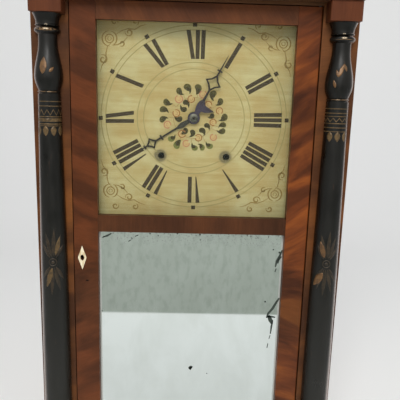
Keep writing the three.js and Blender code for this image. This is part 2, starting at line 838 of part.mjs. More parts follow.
// Pinion with narrow flat-tipped leaves; its first leaf lies at the angle turn
function pinionOutline(leaves, module, turn) {
  const pitch = (leaves * module) / 2;
  const tip = pitch + module * leafAddendumShare;
  const root = pitch - module * dedendumShare;
  const atRoot = Math.asin((module * leafRootShare) / root);
  const atTip = Math.asin((module * leafTipShare) / tip);
  const points = [];
  for (let k = 0; k < leaves; k += 1) {
    const angle = turn + (2 * Math.PI * k) / leaves;
    for (const [radius, offset] of [[root, -atRoot], [tip, -atTip], [tip, atTip], [root, atRoot]]) {
      points.push([radius * Math.cos(angle + offset), radius * Math.sin(angle + offset)]);
    }
  }
  return points;
}

// The angle of a wheel's first tooth that meshes with a neighbour whose turn is known
function meshTurn(turn, teeth, bearing, otherTeeth) {
  const offset = ((turn - bearing) * teeth) / (2 * Math.PI);
  return bearing + Math.PI + ((-offset - 0.5) * 2 * Math.PI) / otherTeeth;
}

// Arbor positions as [x, z] from the hands' arbor
const hub = [0, 0];
const timeArbor = [windingSpread, -windingDrop];
const strikeArbor = [-windingSpread, -windingDrop];
const greatModule = (2 * distanceOf(hub, timeArbor)) / (greatTeeth + greatPinion);
const thirdArbor = atBearing(hub, ((centreTeeth + thirdPinion) * centreModule) / 2, thirdBearing);
const escapeArbor = atBearing(thirdArbor, ((thirdTeeth + escapePinion) * thirdModule) / 2, escapeBearing);
const vergeStud = [escapeArbor[0], escapeArbor[1] + vergeRise];
const motionStud = atBearing(hub, ((cannonLeaves + minuteTeeth) * motionModule) / 2, motionBearing);
const pinArbor = atBearing(strikeArbor, ((greatTeeth + pinPinion) * strikeModule) / 2, pinBearing);
const lockingArbor = atBearing(pinArbor, ((pinTeeth + lockingPinion) * pinModule) / 2, lockingBearing);
const flyArbor = atBearing(lockingArbor, ((lockingTeeth + flyPinion) * lockingModule) / 2, flyBearing);
const countStud = atBearing(pinArbor, ((countTeeth + countPinion) * countModule) / 2, countBearing);
const hammerArbor = [-hammerX, -hammerDrop];

// Turn of every wheel, so that each pair is in mesh at rest
const centreTurn = 0;
const greatTurn = meshTurn(centreTurn, greatPinion, bearingOf(hub, timeArbor), greatTeeth);
const thirdTurn = meshTurn(centreTurn, centreTeeth, bearingOf(hub, thirdArbor), thirdPinion);
const escapeTurn = meshTurn(thirdTurn, thirdTeeth, bearingOf(thirdArbor, escapeArbor), escapePinion);
const minuteTurn = meshTurn(centreTurn, cannonLeaves, bearingOf(hub, motionStud), minuteTeeth);
const hourTurn = meshTurn(minuteTurn, minutePinion, bearingOf(motionStud, hub), hourTeeth);
const pinTurn = 0;
const strikeGreatTurn = meshTurn(pinTurn, pinPinion, bearingOf(pinArbor, strikeArbor), greatTeeth);
const lockingTurn = meshTurn(pinTurn, pinTeeth, bearingOf(pinArbor, lockingArbor), lockingPinion);
const flyTurn = meshTurn(lockingTurn, lockingTeeth, bearingOf(lockingArbor, flyArbor), flyPinion);
const countTurn = meshTurn(pinTurn, countPinion, bearingOf(pinArbor, countStud), countTeeth);

// An arbor that runs from plate to plate: a thick body with a thin pivot in each plate
function arbor(y0 = frontPlateBack + endShake, y1 = backPlateSetback - endShake) {
  return join(
    barY(0, 0, y0, y1, arborRadius, pivotSides),
    barY(0, 0, y0 - plateThickness, y0 + overrun, pivotRadius, pivotSides),
    barY(0, 0, y1 - overrun, y1 + plateThickness, pivotRadius, pivotSides),
  );
}

function wheel(teeth, module, turn, y0, thickness) {
  return slabXZ(wheelOutline(teeth, module, turn), y0, y0 + thickness);
}

function pinion(leaves, module, turn, middle) {
  return slabXZ(pinionOutline(leaves, module, turn), middle - pinionFace / 2, middle + pinionFace / 2);
}

function centreWheel() {
  const greatMiddle = greatPlane + greatThickness / 2;
  const cannonMiddle = cannonPlane + thinWheel / 2;
  const handBack = minuteHandY + handThickness;
  return join(
    barY(0, 0, handBack + seatGap, backPlateSetback - endShake, cannonRadius, smallSides),
    barY(0, 0, noseY, handBack + cannonRadius, arborRadius, smallSides),
    barY(0, 0, backPlateSetback - endShake - overrun, backPlateSetback - endShake + plateThickness,
      pivotRadius, pivotSides),
    wheel(centreTeeth, centreModule, centreTurn, centrePlane, wheelThickness),
    pinion(greatPinion, greatModule, centreTurn, greatMiddle),
    slabXZ(pinionOutline(cannonLeaves, motionModule, centreTurn), cannonMiddle - thinWheel, cannonMiddle + thinWheel),
  );
}

function thirdWheel() {
  return join(
    arbor(),
    wheel(thirdTeeth, thirdModule, thirdTurn, thirdPlane, thinWheel),
    pinion(thirdPinion, centreModule, thirdTurn, centrePlane + wheelThickness / 2),
  );
}

// The escape wheel stands in front of the front plate, on an arbor that passes through it
function escapeWheel() {
  const points = [];
  for (let k = 0; k < escapeTeeth; k += 1) {
    const angle = (2 * Math.PI * k) / escapeTeeth;
    const back = angle + Math.PI / escapeTeeth;
    points.push([escapeRadius * Math.cos(angle), escapeRadius * Math.sin(angle)]);
    points.push([(escapeRadius - escapeToothDepth) * Math.cos(back), (escapeRadius - escapeToothDepth) * Math.sin(back)]);
  }
  return join(
    slabXZ(points, escapePlane, escapePlane + vergeThickness),
    barY(0, 0, escapePlane, backPlateSetback - endShake, arborRadius, pivotSides),
    barY(0, 0, backPlateSetback - endShake - overrun, backPlateSetback - endShake + plateThickness,
      pivotRadius, pivotSides),
    pinion(escapePinion, thirdModule, escapeTurn, thirdPlane + thinWheel / 2),
  );
}

// Great wheel, loose on the winding arbor, with the click that holds the drum's ratchet
function greatWheel(teeth, module, turn, plane, clickSide) {
  const clickY = clickSide > 0 ? plane + greatThickness : plane;
  const y0 = Math.min(clickY - clickSide * overrun, clickY + clickSide * clickThickness);
  const y1 = Math.max(clickY - clickSide * overrun, clickY + clickSide * clickThickness);
  const inner = ratchetRadius + runGap;
  return cut(
    join(
      wheel(teeth, module, turn, plane, greatThickness),
      box(-clickWidth / 2, clickWidth / 2, y0, y1, inner, inner + clickLength),
    ),
    barY(0, 0, plane - overrun, plane + greatThickness + overrun, windingArborRadius + runGap),
  );
}

// Drum with its flanges, its ratchet and the winding arbor, whose square end takes the key
function drum(plane, ratchetSide) {
  const ratchetY = ratchetSide > 0 ? plane + drumLength : plane - ratchetThickness;
  const teeth = [];
  for (let k = 0; k < ratchetTeeth; k += 1) {
    const angle = (2 * Math.PI * k) / ratchetTeeth;
    teeth.push([ratchetRadius * Math.cos(angle), ratchetRadius * Math.sin(angle)]);
    teeth.push([(ratchetRadius - ratchetDepth) * Math.cos(angle + degrees(ratchetSlope)),
      (ratchetRadius - ratchetDepth) * Math.sin(angle + degrees(ratchetSlope))]);
  }
  const half = windingSquare / 2;
  const spool = turnedSolidY([
    [0, plane],
    [drumFlange, plane],
    [drumFlange, plane + flangeThickness],
    [drumRadius, plane + flangeThickness],
    [drumRadius, plane + drumLength - flangeThickness],
    [drumFlange, plane + drumLength - flangeThickness],
    [drumFlange, plane + drumLength],
    [0, plane + drumLength],
  ]);
  return join(
    spool,
    slabXZ(teeth, ratchetY, ratchetY + ratchetThickness),
    barY(0, 0, windingSetback + windingSquareLength, backPlateSetback - endShake, windingArborRadius),
    barY(0, 0, backPlateSetback - endShake - overrun, backPlateSetback - endShake + plateThickness,
      pivotRadius, pivotSides),
    box(-half, half, windingSetback, windingSetback + windingSquareLength + overrun, -half, half),
  );
}

// Motion work: the minute wheel turns on a stud and the hour wheel on the centre arbor
function minuteWheel() {
  const hourMiddle = hourPlane + thinWheel / 2;
  return cut(
    join(
      wheel(minuteTeeth, motionModule, minuteTurn, cannonPlane, thinWheel),
      slabXZ(pinionOutline(minutePinion, motionModule, minuteTurn), hourMiddle - thinWheel, cannonPlane + overrun),
    ),
    barY(0, 0, hourPlane - pinionFace, cannonPlane + pinionFace, pivotRadius + runGap, pivotSides),
  );
}

function hourWheel() {
  const pipeEnd = hourHandY - seatGap;
  return cut(
    join(
      wheel(hourTeeth, motionModule, hourTurn, hourPlane, thinWheel),
      barY(0, 0, pipeEnd, hourPlane + overrun, hourPipeRadius),
    ),
    barY(0, 0, pipeEnd - overrun, hourPlane + thinWheel + overrun, cannonRadius + runGap),
  );
}

// Strike train
function pinWheel() {
  let solid = join(
    arbor(),
    wheel(pinTeeth, pinModule, pinTurn, pinPlane, wheelThickness),
    pinion(pinPinion, strikeModule, pinTurn, strikeGreatPlane + greatThickness / 2),
    barY(0, 0, countPlane, frontPlateBack + overrun + endShake, arborRadius, pivotSides),
    slabXZ(pinionOutline(countPinion, countModule, pinTurn), countPlane, countPlane + thinWheel + endShake),
  );
  for (let k = 0; k < pinCount; k += 1) {
    const angle = (2 * Math.PI * (k + 0.5)) / pinCount;
    solid = join(solid, barY(pinCircle * Math.cos(angle), pinCircle * Math.sin(angle),
      pinPlane + overrun, pinPlane + wheelThickness + pinLength, pinRadius, pinSides));
  }
  return solid;
}

function lockingWheel() {
  return join(
    arbor(),
    wheel(lockingTeeth, lockingModule, lockingTurn, lockingPlane, thinWheel),
    pinion(lockingPinion, pinModule, lockingTurn, pinPlane + wheelThickness / 2),
  );
}

function fly() {
  const half = vaneThickness / 2;
  return join(
    arbor(),
    pinion(flyPinion, lockingModule, flyTurn, lockingPlane + thinWheel / 2),
    box(-vaneReach, vaneReach, flyPlane, flyPlane + vaneLength, -half, half),
  );
}

// Count wheel: one tooth for each blow of twelve hours, and a ring notched where each hour ends
function countWheel() {
  const ringY = countPlane - countRingDepth;
  let rim = turnedSolidY([
    [countRing - countRingWidth, ringY],
    [countRing, ringY],
    [countRing, countPlane + overrun],
    [countRing - countRingWidth, countPlane + overrun],
    [countRing - countRingWidth, ringY],
  ], countTeeth / 6);
  let blows = 0;
  for (const hour of hourBlows) {
    blows += hour;
    const slot = box(countRing - countRingWidth - overrun, countRing + overrun, ringY - overrun,
      countPlane, -countSlot / 2, countSlot / 2);
    rim = cut(rim, slot.rotate([0, (360 * blows) / countTeeth, 0]));
  }
  return cut(
    join(wheel(countTeeth, countModule, countTurn, countPlane, thinWheel), rim),
    barY(0, 0, countPlane - overrun, countPlane + thinWheel + overrun, arborRadius + runGap),
  );
}

// Hammer: arbor, tail beside the lifting pins, wire and head
function hammer() {
  const tailY = pinPlane + wheelThickness + endShake;
  const tip = [hammerTail, hammerTailRise];
  const along = Math.atan2(tip[1], tip[0]);
  const reach = Math.hypot(tip[0], tip[1]);
  const tail = box(0, reach, tailY, tailY + pinLength - endShake, -hammerWire, hammerWire)
    .rotate([0, (-along * 180) / Math.PI, 0]);
  return join(
    arbor(),
    tail,
    barZ(0, hammerPlane, -hammerFall, 0, hammerWire, pivotSides),
    barY(0, -hammerFall, hammerPlane - hammerHeadLength / 2, hammerPlane + hammerHeadLength / 2,
      hammerHeadRadius, smallSides),
  );
}

// Bell: a turned cup open to the front, with the post that holds it to the backboard
function bell() {
  const back = bellMouth + bellDepth;
  const inner = bellRadius - bellWall;
  return turnedSolidY([
    [0, movementBack - seatGap],
    [bellPostRadius, movementBack - seatGap],
    [bellPostRadius, back],
    [inner * bellCrownShare, back],
    [bellRadius * bellShoulderShare, back - bellDepth * bellShoulderDropShare],
    [bellRadius, bellMouth],
    [inner, bellMouth],
    [inner * bellInnerShoulderShare, back - bellDepth * bellInnerDropShare],
    [inner * bellInnerCrownShare, back - bellWall],
    [bellPostRadius * bellNutShare, back - bellWall],
    [bellPostRadius * bellNutShare, back - 2 * bellWall],
    [0, back - 2 * bellWall],
  ]);
}

// Verge: two pallets over the escape wheel and the crutch that holds the pendulum wire
function verge() {
  const tipRadius = escapeRadius + palletClear;
  const tipX = tipRadius * Math.sin(degrees(palletSpread));
  const tipZ = tipRadius * Math.cos(degrees(palletSpread)) - vergeRise;
  const outline = [
    [-tipX, tipZ],
    [-tipX - vergeBar / 2, tipZ + vergeBar],
    [-tipX, -vergeHubRadius / 2],
    [0, vergeBar],
    [tipX, -vergeHubRadius / 2],
    [tipX + vergeBar / 2, tipZ + vergeBar],
    [tipX, tipZ],
    [tipX - vergeBar / 2, tipZ + vergeBar],
    [0, -vergeBar],
    [-tipX + vergeBar / 2, tipZ + vergeBar],
  ];
  const crutchY = escapePlane - endShake - crutchThickness;
  const forkIn = pendulumWire + endShake;
  const forkOut = forkIn + crutchThickness;
  const forkBack = crutchY + crutchThickness;
  const forkFront = pendulumPlane - pendulumWire - endShake;
  return cut(
    join(
      slabXZ(outline, escapePlane, escapePlane + vergeThickness),
      barY(0, 0, crutchY, escapePlane + vergeThickness, vergeHubRadius, smallSides),
      box(-crutchWidth / 2, crutchWidth / 2, crutchY, forkBack, -crutchLength - crutchFork, 0),
      box(-forkOut, -forkIn, forkFront, forkBack, -crutchLength - crutchFork, -crutchLength),
      box(forkIn, forkOut, forkFront, forkBack, -crutchLength - crutchFork, -crutchLength),
      box(-forkOut, forkOut, crutchY, forkBack, -crutchLength - crutchFork, -crutchLength),
    ),
    barY(0, 0, crutchY - overrun, escapePlane + vergeThickness + overrun, pivotRadius + runGap, smallSides),
  );
}

function pendulumRod() {
  const y0 = pendulumPlane - eyeThickness / 2;
  const y1 = pendulumPlane + eyeThickness / 2;
  const foot = -pendulumLength - bobRadius - seatGap;
  return join(
    slabXZ(ring(0, 0, eyeRadius, smallSides), y0, y1, [ring(0, 0, pivotRadius + runGap, smallSides)]),
    barZ(0, pendulumPlane, foot - overrun, -eyeRadius + overrun, pendulumWire, pivotSides),
    barZ(0, pendulumPlane, foot - ratingNutHeight, foot, ratingNutRadius, smallSides),
  );
}

// Lens-shaped bob with the hole for the wire
function pendulumBob() {
  const half = bobThickness / 2;
  const lens = turnedSolidY([
    [0, -half],
    [bobRadius * bobWaistShare, -half * bobWaistDepthShare],
    [bobRadius, -bobEdge / 2],
    [bobRadius, bobEdge / 2],
    [bobRadius * bobWaistShare, half * bobWaistDepthShare],
    [0, half],
  ]);
  const bore = barZ(0, 0, -bobRadius - overrun, bobRadius + overrun, pendulumWire + seatGap, pivotSides);
  return cut(lens, bore);
}

// Wooden plates; the back one carries the pillars, the front one the three studs
function plate(y0, holes) {
  const outline = [
    [-plateHalfWidth, -plateFall],
    [plateHalfWidth, -plateFall],
    [plateHalfWidth, plateRise],
    [-plateHalfWidth, plateRise],
  ];
  return slabXZ(outline, y0, y0 + plateThickness,
    holes.map(([[x, z], radius]) => ring(x, z, radius, pivotSides)));
}

const pillarSpots = [
  [-pillarTopHalf, pillarTop],
  [pillarTopHalf, pillarTop],
  [-pillarLowLeft, -pillarLow],
  [pillarLowRight, -pillarLow],
];

function backPlate() {
  const holes = [hub, timeArbor, strikeArbor, thirdArbor, escapeArbor, pinArbor, lockingArbor, flyArbor,
    hammerArbor].map((spot) => [spot, pivotRadius + runGap]);
  return join(plate(backPlateSetback, holes), ...pillarSpots.map(([x, z]) => join(
    barY(x, z, frontPlateBack + seatGap, backPlateSetback + overrun, pillarRadius, smallSides),
    barY(x, z, frontPlateSetback - overrun, frontPlateBack + overrun, pillarTenon, pivotSides),
  )));
}

function frontPlate() {
  const holes = [
    [hub, cannonRadius + runGap],
    [timeArbor, windingArborRadius + runGap],
    [strikeArbor, windingArborRadius + runGap],
    [thirdArbor, pivotRadius + runGap],
    [escapeArbor, arborRadius + runGap],
    [pinArbor, arborRadius + runGap],
    [lockingArbor, pivotRadius + runGap],
    [flyArbor, pivotRadius + runGap],
    [hammerArbor, pivotRadius + runGap],
    ...pillarSpots.map((spot) => [spot, pillarTenon + runGap]),
  ];
  const root = frontPlateSetback + overrun;
  return join(
    plate(frontPlateSetback, holes),
    barY(vergeStud[0], vergeStud[1], pendulumPlane - eyeThickness, root, pivotRadius, smallSides),
    barY(motionStud[0], motionStud[1], dialBack + overrun, root, pivotRadius, pivotSides),
    barY(motionStud[0], motionStud[1], cannonPlane + thinWheel + endShake, root, pivotRadius + overrun, pivotSides),
    barY(countStud[0], countStud[1], countPlane - overrun, root, arborRadius, smallSides),
    barY(countStud[0], countStud[1], countPlane + thinWheel + endShake, root, arborRadius + overrun, smallSides),
  );
}

// Hands, drawn pointing to twelve. The right half of each outline runs from the boss to the
// tip as shares of the hand's length: neck, swelling, shaft, open diamond, crossbar and tip.
const minuteHalfShares = [
  [0.03, 0.07], [0.05, 0.14], [0.057, 0.2], [0.045, 0.25], [0.018, 0.29], [0.013, 0.445],
  [0.056, 0.512], [0.125, 0.562], [0.056, 0.612], [0.013, 0.68], [0.012, 0.741], [0.04, 0.741],
  [0.04, 0.765], [0.011, 0.765], [0.003, 1],
];
const minuteWindowShares = [[0, 0.475], [0.036, 0.524], [0.088, 0.562], [0.036, 0.6], [0, 0.65]];
const minuteBarbShares = [
  [0.02, 0.13], [0.095, 0.14], [0.14, 0.165], [0.217, 0.214], [0.165, 0.224], [0.1, 0.23], [0.02, 0.24],
];
const hourHalfShares = [
  [0.03, 0.07], [0.038, 0.16], [0.045, 0.22], [0.03, 0.28], [0.016, 0.31], [0.014, 0.592],
  [0.045, 0.592], [0.045, 0.62], [0.014, 0.62], [0.014, 0.705], [0.045, 0.745], [0.095, 0.79],
  [0.045, 0.838], [0.013, 0.882], [0.012, 0.912], [0.036, 0.912], [0.036, 0.936], [0.01, 0.936],
  [0.003, 1],
];
const hourWindowShares = [[0, 0.735], [0.026, 0.765], [0.062, 0.79], [0.026, 0.817], [0, 0.852]];

function bothHalves(shares, length) {
  const right = shares.map(([across, along]) => [across * length, along * length]);
  const left = right.filter(([x]) => x > 0).map(([x, z]) => [-x, z]).reverse();
  return [...right, ...left];
}

function hand(halfShares, windowShares, length, boss, hole) {
  return cut(
    join(
      slabXZ(bothHalves(halfShares, length), 0, handThickness),
      slabXZ(ring(0, 0, boss, roundSides), 0, handThickness),
    ),
    barY(0, 0, -overrun, handThickness + overrun, hole, smallSides),
    slabXZ(bothHalves(windowShares, length), -overrun, handThickness + overrun),
  );
}

function minuteHand() {
  const barb = minuteBarbShares.map(([across, along]) => [across * minuteLength, along * minuteLength]);
  const plain = hand(minuteHalfShares, minuteWindowShares, minuteLength, minuteBoss, arborRadius + seatGap);
  return join(plain, slabXZ(barb, 0, handThickness));
}

function hourHand() {
  return hand(hourHalfShares, hourWindowShares, hourLength, hourBoss, hourPipeRadius + seatGap);
}

function handWasher() {
  return turnedSolidY([
    [arborRadius + seatGap, 0],
    [washerRadius * washerTopShare, 0],
    [washerRadius, washerThickness * washerSlopeShare],
    [washerRadius, washerThickness],
    [arborRadius + seatGap, washerThickness],
    [arborRadius + seatGap, 0],
  ]);
}

// Weight: a cast cylinder with a cast eye
function weight() {
  const top = weightHeight;
  const body = facingOut(turnedY([
    [0, 0],
    [weightRadius - weightChamfer, 0],
    [weightRadius, weightChamfer],
    [weightRadius, top - weightChamfer],
    [weightRadius - weightChamfer, top],
    [0, top],
  ]));
  body.rotateX(Math.PI / 2);
  const eye = new THREE.TorusGeometry(weightEyeRadius, weightEyeWire, pinSides, pivotSides);
  eye.rotateX(Math.PI / 2);
  eye.translate(0, 0, top + weightEyeRadius);
  return join(toSolid(body), toSolid(eye));
}

function pulley() {
  const half = pulleyWidth / 2;
  const groove = pulleyRadius - cordRadius - seatGap;
  const axle = axleLength / 2;
  return join(
    turnedSolidY([
      [0, -half],
      [pulleyFlange, -half],
      [pulleyFlange, -half + pulleyRim],
      [groove, -cordRadius - seatGap],
      [groove, cordRadius + seatGap],
      [pulleyFlange, half - pulleyRim],
      [pulleyFlange, half],
      [0, half],
    ]),
    barY(0, 0, -axle, axle, axleRadius, pivotSides),
  );
}

// The cord leaves the drum on its outer side and crosses over to the pulley's inner side, so
// that the falling weight turns the hands forwards. Both contacts lie on one line.
function cordTangent() {
  const drumAt = [windingSpread, hubZ - windingDrop];
  const pulleyAt = [pulleySpread, pulleyZ];
  const drumCord = drumRadius + seatGap + cordRadius;
  const lean = Math.asin((drumCord + pulleyRadius) / distanceOf(drumAt, pulleyAt));
  const leaves = bearingOf(drumAt, pulleyAt) - Math.PI / 2 + lean;
  return { drumAt, pulleyAt, drumCord, leaves, meets: leaves + Math.PI };
}

function onCircle([x, z], radius, angle) {
  return new THREE.Vector3(x + radius * Math.cos(angle), 0, z + radius * Math.sin(angle));
}

function cordTube(curve, steps) {
  const section = new THREE.Shape(ring(0, 0, cordRadius, cordSides).map(([x, y]) => new THREE.Vector2(x, y)));
  return toSolid(new THREE.ExtrudeGeometry(section, { steps, bevelEnabled: false, extrudePath: curve }));
}

class PulleyArc extends THREE.Curve {
  constructor(centre, radius, from, to) {
    super();
    Object.assign(this, { centre, radius, from, to });
  }

  getPoint(t, target = new THREE.Vector3()) {
    const angle = this.from + (this.to - this.from) * t;
    return target.set(this.centre[0] + this.radius * Math.cos(angle), 0,
      this.centre[1] + this.radius * Math.sin(angle));
  }
}

function cordRun() {
  const { drumAt, pulleyAt, drumCord, leaves, meets } = cordTangent();
  const start = onCircle(drumAt, drumCord, leaves);
  const end = onCircle(pulleyAt, pulleyRadius, meets);
  const past = end.clone().add(end.clone().sub(start).normalize().multiplyScalar(cordRadius));
  return join(
    cordTube(new THREE.LineCurve3(start, past), 1),
    cordTube(new PulleyArc(pulleyAt, pulleyRadius, meets, 0), cordArcSteps),
  );
}

// Upright strand from the pulley to the weight's eye
function cordHang() {
  const foot = lowerBlockZ + weightHeight + 2 * weightEyeRadius + weightEyeWire + seatGap;
  return barZ(0, 0, foot, pulleyZ - seatGap, cordRadius, cordSides);
}

// Placing
const clock = new THREE.Group();
clock.position.y = -totalDepth / 2 + frontOverhang;
const movement = new THREE.Group();
movement.position.set(0, noseY * (1 - depthFit), hubZ);
movement.scale.y = depthFit;
clock.add(movement);

function place(group, name, solid, material, x = 0, y = 0, z = 0) {
  const mesh = new THREE.Mesh(toGeometry(solid), material);
  mesh.name = name;
  mesh.position.set(x, y, z);
  group.add(mesh);
  return mesh;
}

// Case
place(clock, "side_left", sideBoard(), mahogany(), -halfCase);
place(clock, "side_right", sideBoard(), mahogany(), halfCase - sideThickness);
place(clock, "cornice_board", corniceBoard(), mahogany());
place(clock, "base_board", baseBoard(), mahogany());
place(clock, "backboard", backBoard(), pine());
place(clock, "stile_left", frontStile(), mahogany(), -halfCase);
place(clock, "stile_right", frontStile(), mahogany(), stileInside);
for (const [side, word] of [[-1, "left"], [1, "right"]]) {
  place(clock, `block_top_${word}`, cornerBlock(), mahogany(), side * blockX, 0, upperBlockZ);
  place(clock, `block_bottom_${word}`, cornerBlock(), mahogany(), side * blockX, 0, lowerBlockZ);
  place(clock, `column_${word}`, halfColumn(), ebonised(), side * columnX, -columnForward, columnZ);
  place(movement, `rail_${word}`, side > 0 ? movementRail() : movementRail().mirror([1, 0, 0]), pine(),
    side * railInside);
}

// Door
place(clock, "door_stile_left", leftDoorStile(), crotch());
place(clock, "door_stile_right", rightDoorStile(), crotch());
place(clock, "door_rail_top", doorRail(...railSpans[0], true, false), crotch());
place(clock, "door_rail_middle", doorRail(...railSpans[1], true, true), crotch());
place(clock, "door_rail_bottom", doorRail(...railSpans[2], false, true), crotch());
place(clock, "dial_glass", pane(dialOpeningZ, dialOpeningTop, glassThickness, seatGap), clearGlass());
place(clock, "mirror", pane(mirrorOpeningZ, mirrorOpeningTop, mirrorThickness, seatGap), silvered());
place(clock, "mirror_back",
  pane(mirrorOpeningZ, mirrorOpeningTop, mirrorBackThickness, mirrorThickness + 2 * seatGap), pine());
place(clock, "escutcheon", escutcheon(), bone(), keyX, 0, keyZ);
const lockX = -doorHalf + seatGap + lockWidth / 2 + endShake;
place(clock, "lock_case", lockCase(), brass(), lockX, doorThickness + seatGap, keyZ);
place(clock, "lock_bolt", lockBolt(), steel(), lockX, doorThickness + seatGap, keyZ);
place(clock, "hinge_pin_upper", hingePin(), steel(), hingeX, hingeInset, (headZ + doorTop) / 2);
place(clock, "hinge_pin_lower", hingePin(), steel(), hingeX, hingeInset, (baseThickness + doorZ) / 2);

// Dial and hands
place(movement, "dial_board", dialBoard(), dialPaint());
const hour = place(movement, "hour_hand", hourHand(), blued(), 0, hourHandY);
hour.rotation.y = degrees(hourAngle);
const minute = place(movement, "minute_hand", minuteHand(), blued(), 0, minuteHandY);
minute.rotation.y = degrees(minuteAngle);
place(movement, "hand_washer", handWasher(), brass(), 0, minuteHandY - seatGap - washerThickness);

// Movement
function placeAt(name, solid, material, [x, z]) {
  return place(movement, name, solid, material, x, 0, z);
}

place(movement, "plate_front", frontPlate(), oak());
place(movement, "plate_back", backPlate(), oak());
placeAt("time_drum", drum(drumPlane, -1), cherry(), timeArbor);
placeAt("time_great_wheel", greatWheel(greatTeeth, greatModule, greatTurn, greatPlane, 1), cherry(), timeArbor);
placeAt("centre_wheel", centreWheel(), cherry(), hub);
placeAt("third_wheel", thirdWheel(), cherry(), thirdArbor);
placeAt("escape_wheel", escapeWheel(), cherry(), escapeArbor);
placeAt("verge", verge(), steel(), vergeStud);
placeAt("minute_wheel", minuteWheel(), cherry(), motionStud);
placeAt("hour_wheel", hourWheel(), cherry(), hub);
placeAt("pendulum_rod", pendulumRod(), steel(), vergeStud);
place(movement, "pendulum_bob", pendulumBob(), brass(), vergeStud[0], pendulumPlane, vergeStud[1] - pendulumLength);
placeAt("strike_drum", drum(strikeDrumPlane, 1), cherry(), strikeArbor);
placeAt("strike_great_wheel", greatWheel(greatTeeth, strikeModule, strikeGreatTurn, strikeGreatPlane, -1), cherry(),
  strikeArbor);
placeAt("strike_pin_wheel", pinWheel(), cherry(), pinArbor);
placeAt("strike_locking_wheel", lockingWheel(), cherry(), lockingArbor);
placeAt("strike_fly", fly(), cherry(), flyArbor);
placeAt("count_wheel", countWheel(), cherry(), countStud);
placeAt("hammer", hammer(), castIron(), hammerArbor);
const bellX = -hammerX + hammerHeadRadius + bellStrikeGap + bellRadius;
placeAt("bell", bell(), castIron(), [bellX, -hammerDrop - hammerFall]);

// Weights, pulleys and cords
for (const [side, word] of [[1, "time"], [-1, "strike"]]) {
  const x = side * weightX;
  place(clock, `${word}_weight`, weight(), castIron(), x, weightPlane, lowerBlockZ);
  place(clock, `${word}_pulley`, pulley(), cherry(), side * pulleySpread, weightPlane, pulleyZ);
  place(clock, `${word}_cord_run`, side > 0 ? cordRun() : cordRun().mirror([1, 0, 0]), cordFibre(), 0, weightPlane);
  place(clock, `${word}_cord_hang`, cordHang(), cordFibre(), x, weightPlane);
}

export default clock;
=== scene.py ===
import math
import random

import bmesh
import bpy
from mathutils import Matrix, Vector


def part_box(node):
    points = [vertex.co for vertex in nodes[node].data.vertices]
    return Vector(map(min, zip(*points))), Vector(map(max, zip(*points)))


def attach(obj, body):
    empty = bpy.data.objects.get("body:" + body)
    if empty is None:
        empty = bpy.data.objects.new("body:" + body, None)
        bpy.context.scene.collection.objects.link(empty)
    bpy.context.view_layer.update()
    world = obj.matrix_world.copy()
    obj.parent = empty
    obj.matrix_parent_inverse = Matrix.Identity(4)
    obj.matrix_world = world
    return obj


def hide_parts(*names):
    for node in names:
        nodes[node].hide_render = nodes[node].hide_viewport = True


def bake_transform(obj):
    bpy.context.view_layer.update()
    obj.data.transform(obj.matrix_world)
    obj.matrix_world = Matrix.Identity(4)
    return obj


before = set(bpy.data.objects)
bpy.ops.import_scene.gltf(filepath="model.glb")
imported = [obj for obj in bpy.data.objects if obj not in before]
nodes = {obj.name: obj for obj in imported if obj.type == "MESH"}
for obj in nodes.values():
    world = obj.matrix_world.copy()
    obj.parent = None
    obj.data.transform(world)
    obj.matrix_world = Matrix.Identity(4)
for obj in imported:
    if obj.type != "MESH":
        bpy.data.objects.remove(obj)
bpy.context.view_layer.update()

MM = 0.001
random.seed(7)

# Camera: pixels of focal length over a square frame, nearest distance seen in metres, place in
# millimetres, and turn in degrees
FRAME_WIDTH = 400
FOCAL_PIXELS = 500
SENSOR = 36
CLIP_START = 0.01
CAMERA_AT = (-8.2, -738.9, 616.1)
PITCH, YAW, ROLL = -11.336, 1.615, 1.617

# Stage, in metres: the floor sweeps up behind the clock, and the table ends before it
STAGE_REACH = 8
SWEEP_START, SWEEP_RADIUS, SWEEP_STEPS = 1.2, 1.0, 24
TABLE_EDGE_Y, TABLE_EDGE_BLUR = -0.695, 0.004
FLOOR_COLOUR = (244, 244, 242)
ROOM_COLOUR = (164, 169, 160)
BACKDROP_COLOUR = (222, 220, 216)
AMBIENT_COLOUR, AMBIENT_STRENGTH = (0.93, 0.95, 1.0, 1), 0.52
# Lamps, in metres: place, aim, width and height, power, colour, and whether gloss shows them
LAMPS = {
    "key": ((-0.2, -2.0, 2.1), (0, 0, 0.5), (1.2, 1.0), 46, (1.0, 0.985, 0.96), True),
    "fill": ((2.2, -1.9, 1.4), (0, 0, 0.45), (2.6, 2.4), 20, (0.97, 0.985, 1.0), False),
}

# Places on the clock, in millimetres, as are all lengths below
HUB = (0, 590.2)
DIAL_FACE_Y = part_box("dial_board")[0].y / MM
DOOR_FACE_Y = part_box("door_stile_left")[0].y / MM
MIRROR_FACE_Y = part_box("mirror")[0].y / MM
NAIL_HOLE = (-150.1, 352.4)
NAIL_HOLE_REACH, NAIL_HOLE_RISE = 2.4, 1.1

# Looking-glass: its middle line, half width and top, the height from which its silver is clouded, the
# depth of the specks below its top, and the bevel down its sides, painted as a pale highlight
MIRROR_MIDDLE, MIRROR_REACH, MIRROR_TOP = 1.3, 135, 426.5
CLOUD_FROM, CLOUD_BLUR = 300, 8
SPECK_DEPTH = 24
BEVEL, BEVEL_BLUR = 2.4, 0.4

# Winding holes: their distance from the middle line and below the hub, and, in radii of the hole, where
# the halo and the stain round each are gone and are whole
HOLE_SPREAD, HOLE_DROP, HOLE_RADIUS = 47.1, 55, 5
HALO_SHARES, STAIN_SHARES = (3.4, 1.6), (2.1, 1.5)
# Distances from the hub at which a hand's blueing is gone and is whole
BLUE_GONE, BLUE_WHOLE = 31.2, 19.2
ARBOR_RADIUS, ARBOR_BLUR = 4.5, 0.3
# Sides of a cord's section
STRAND_SIDES = 8
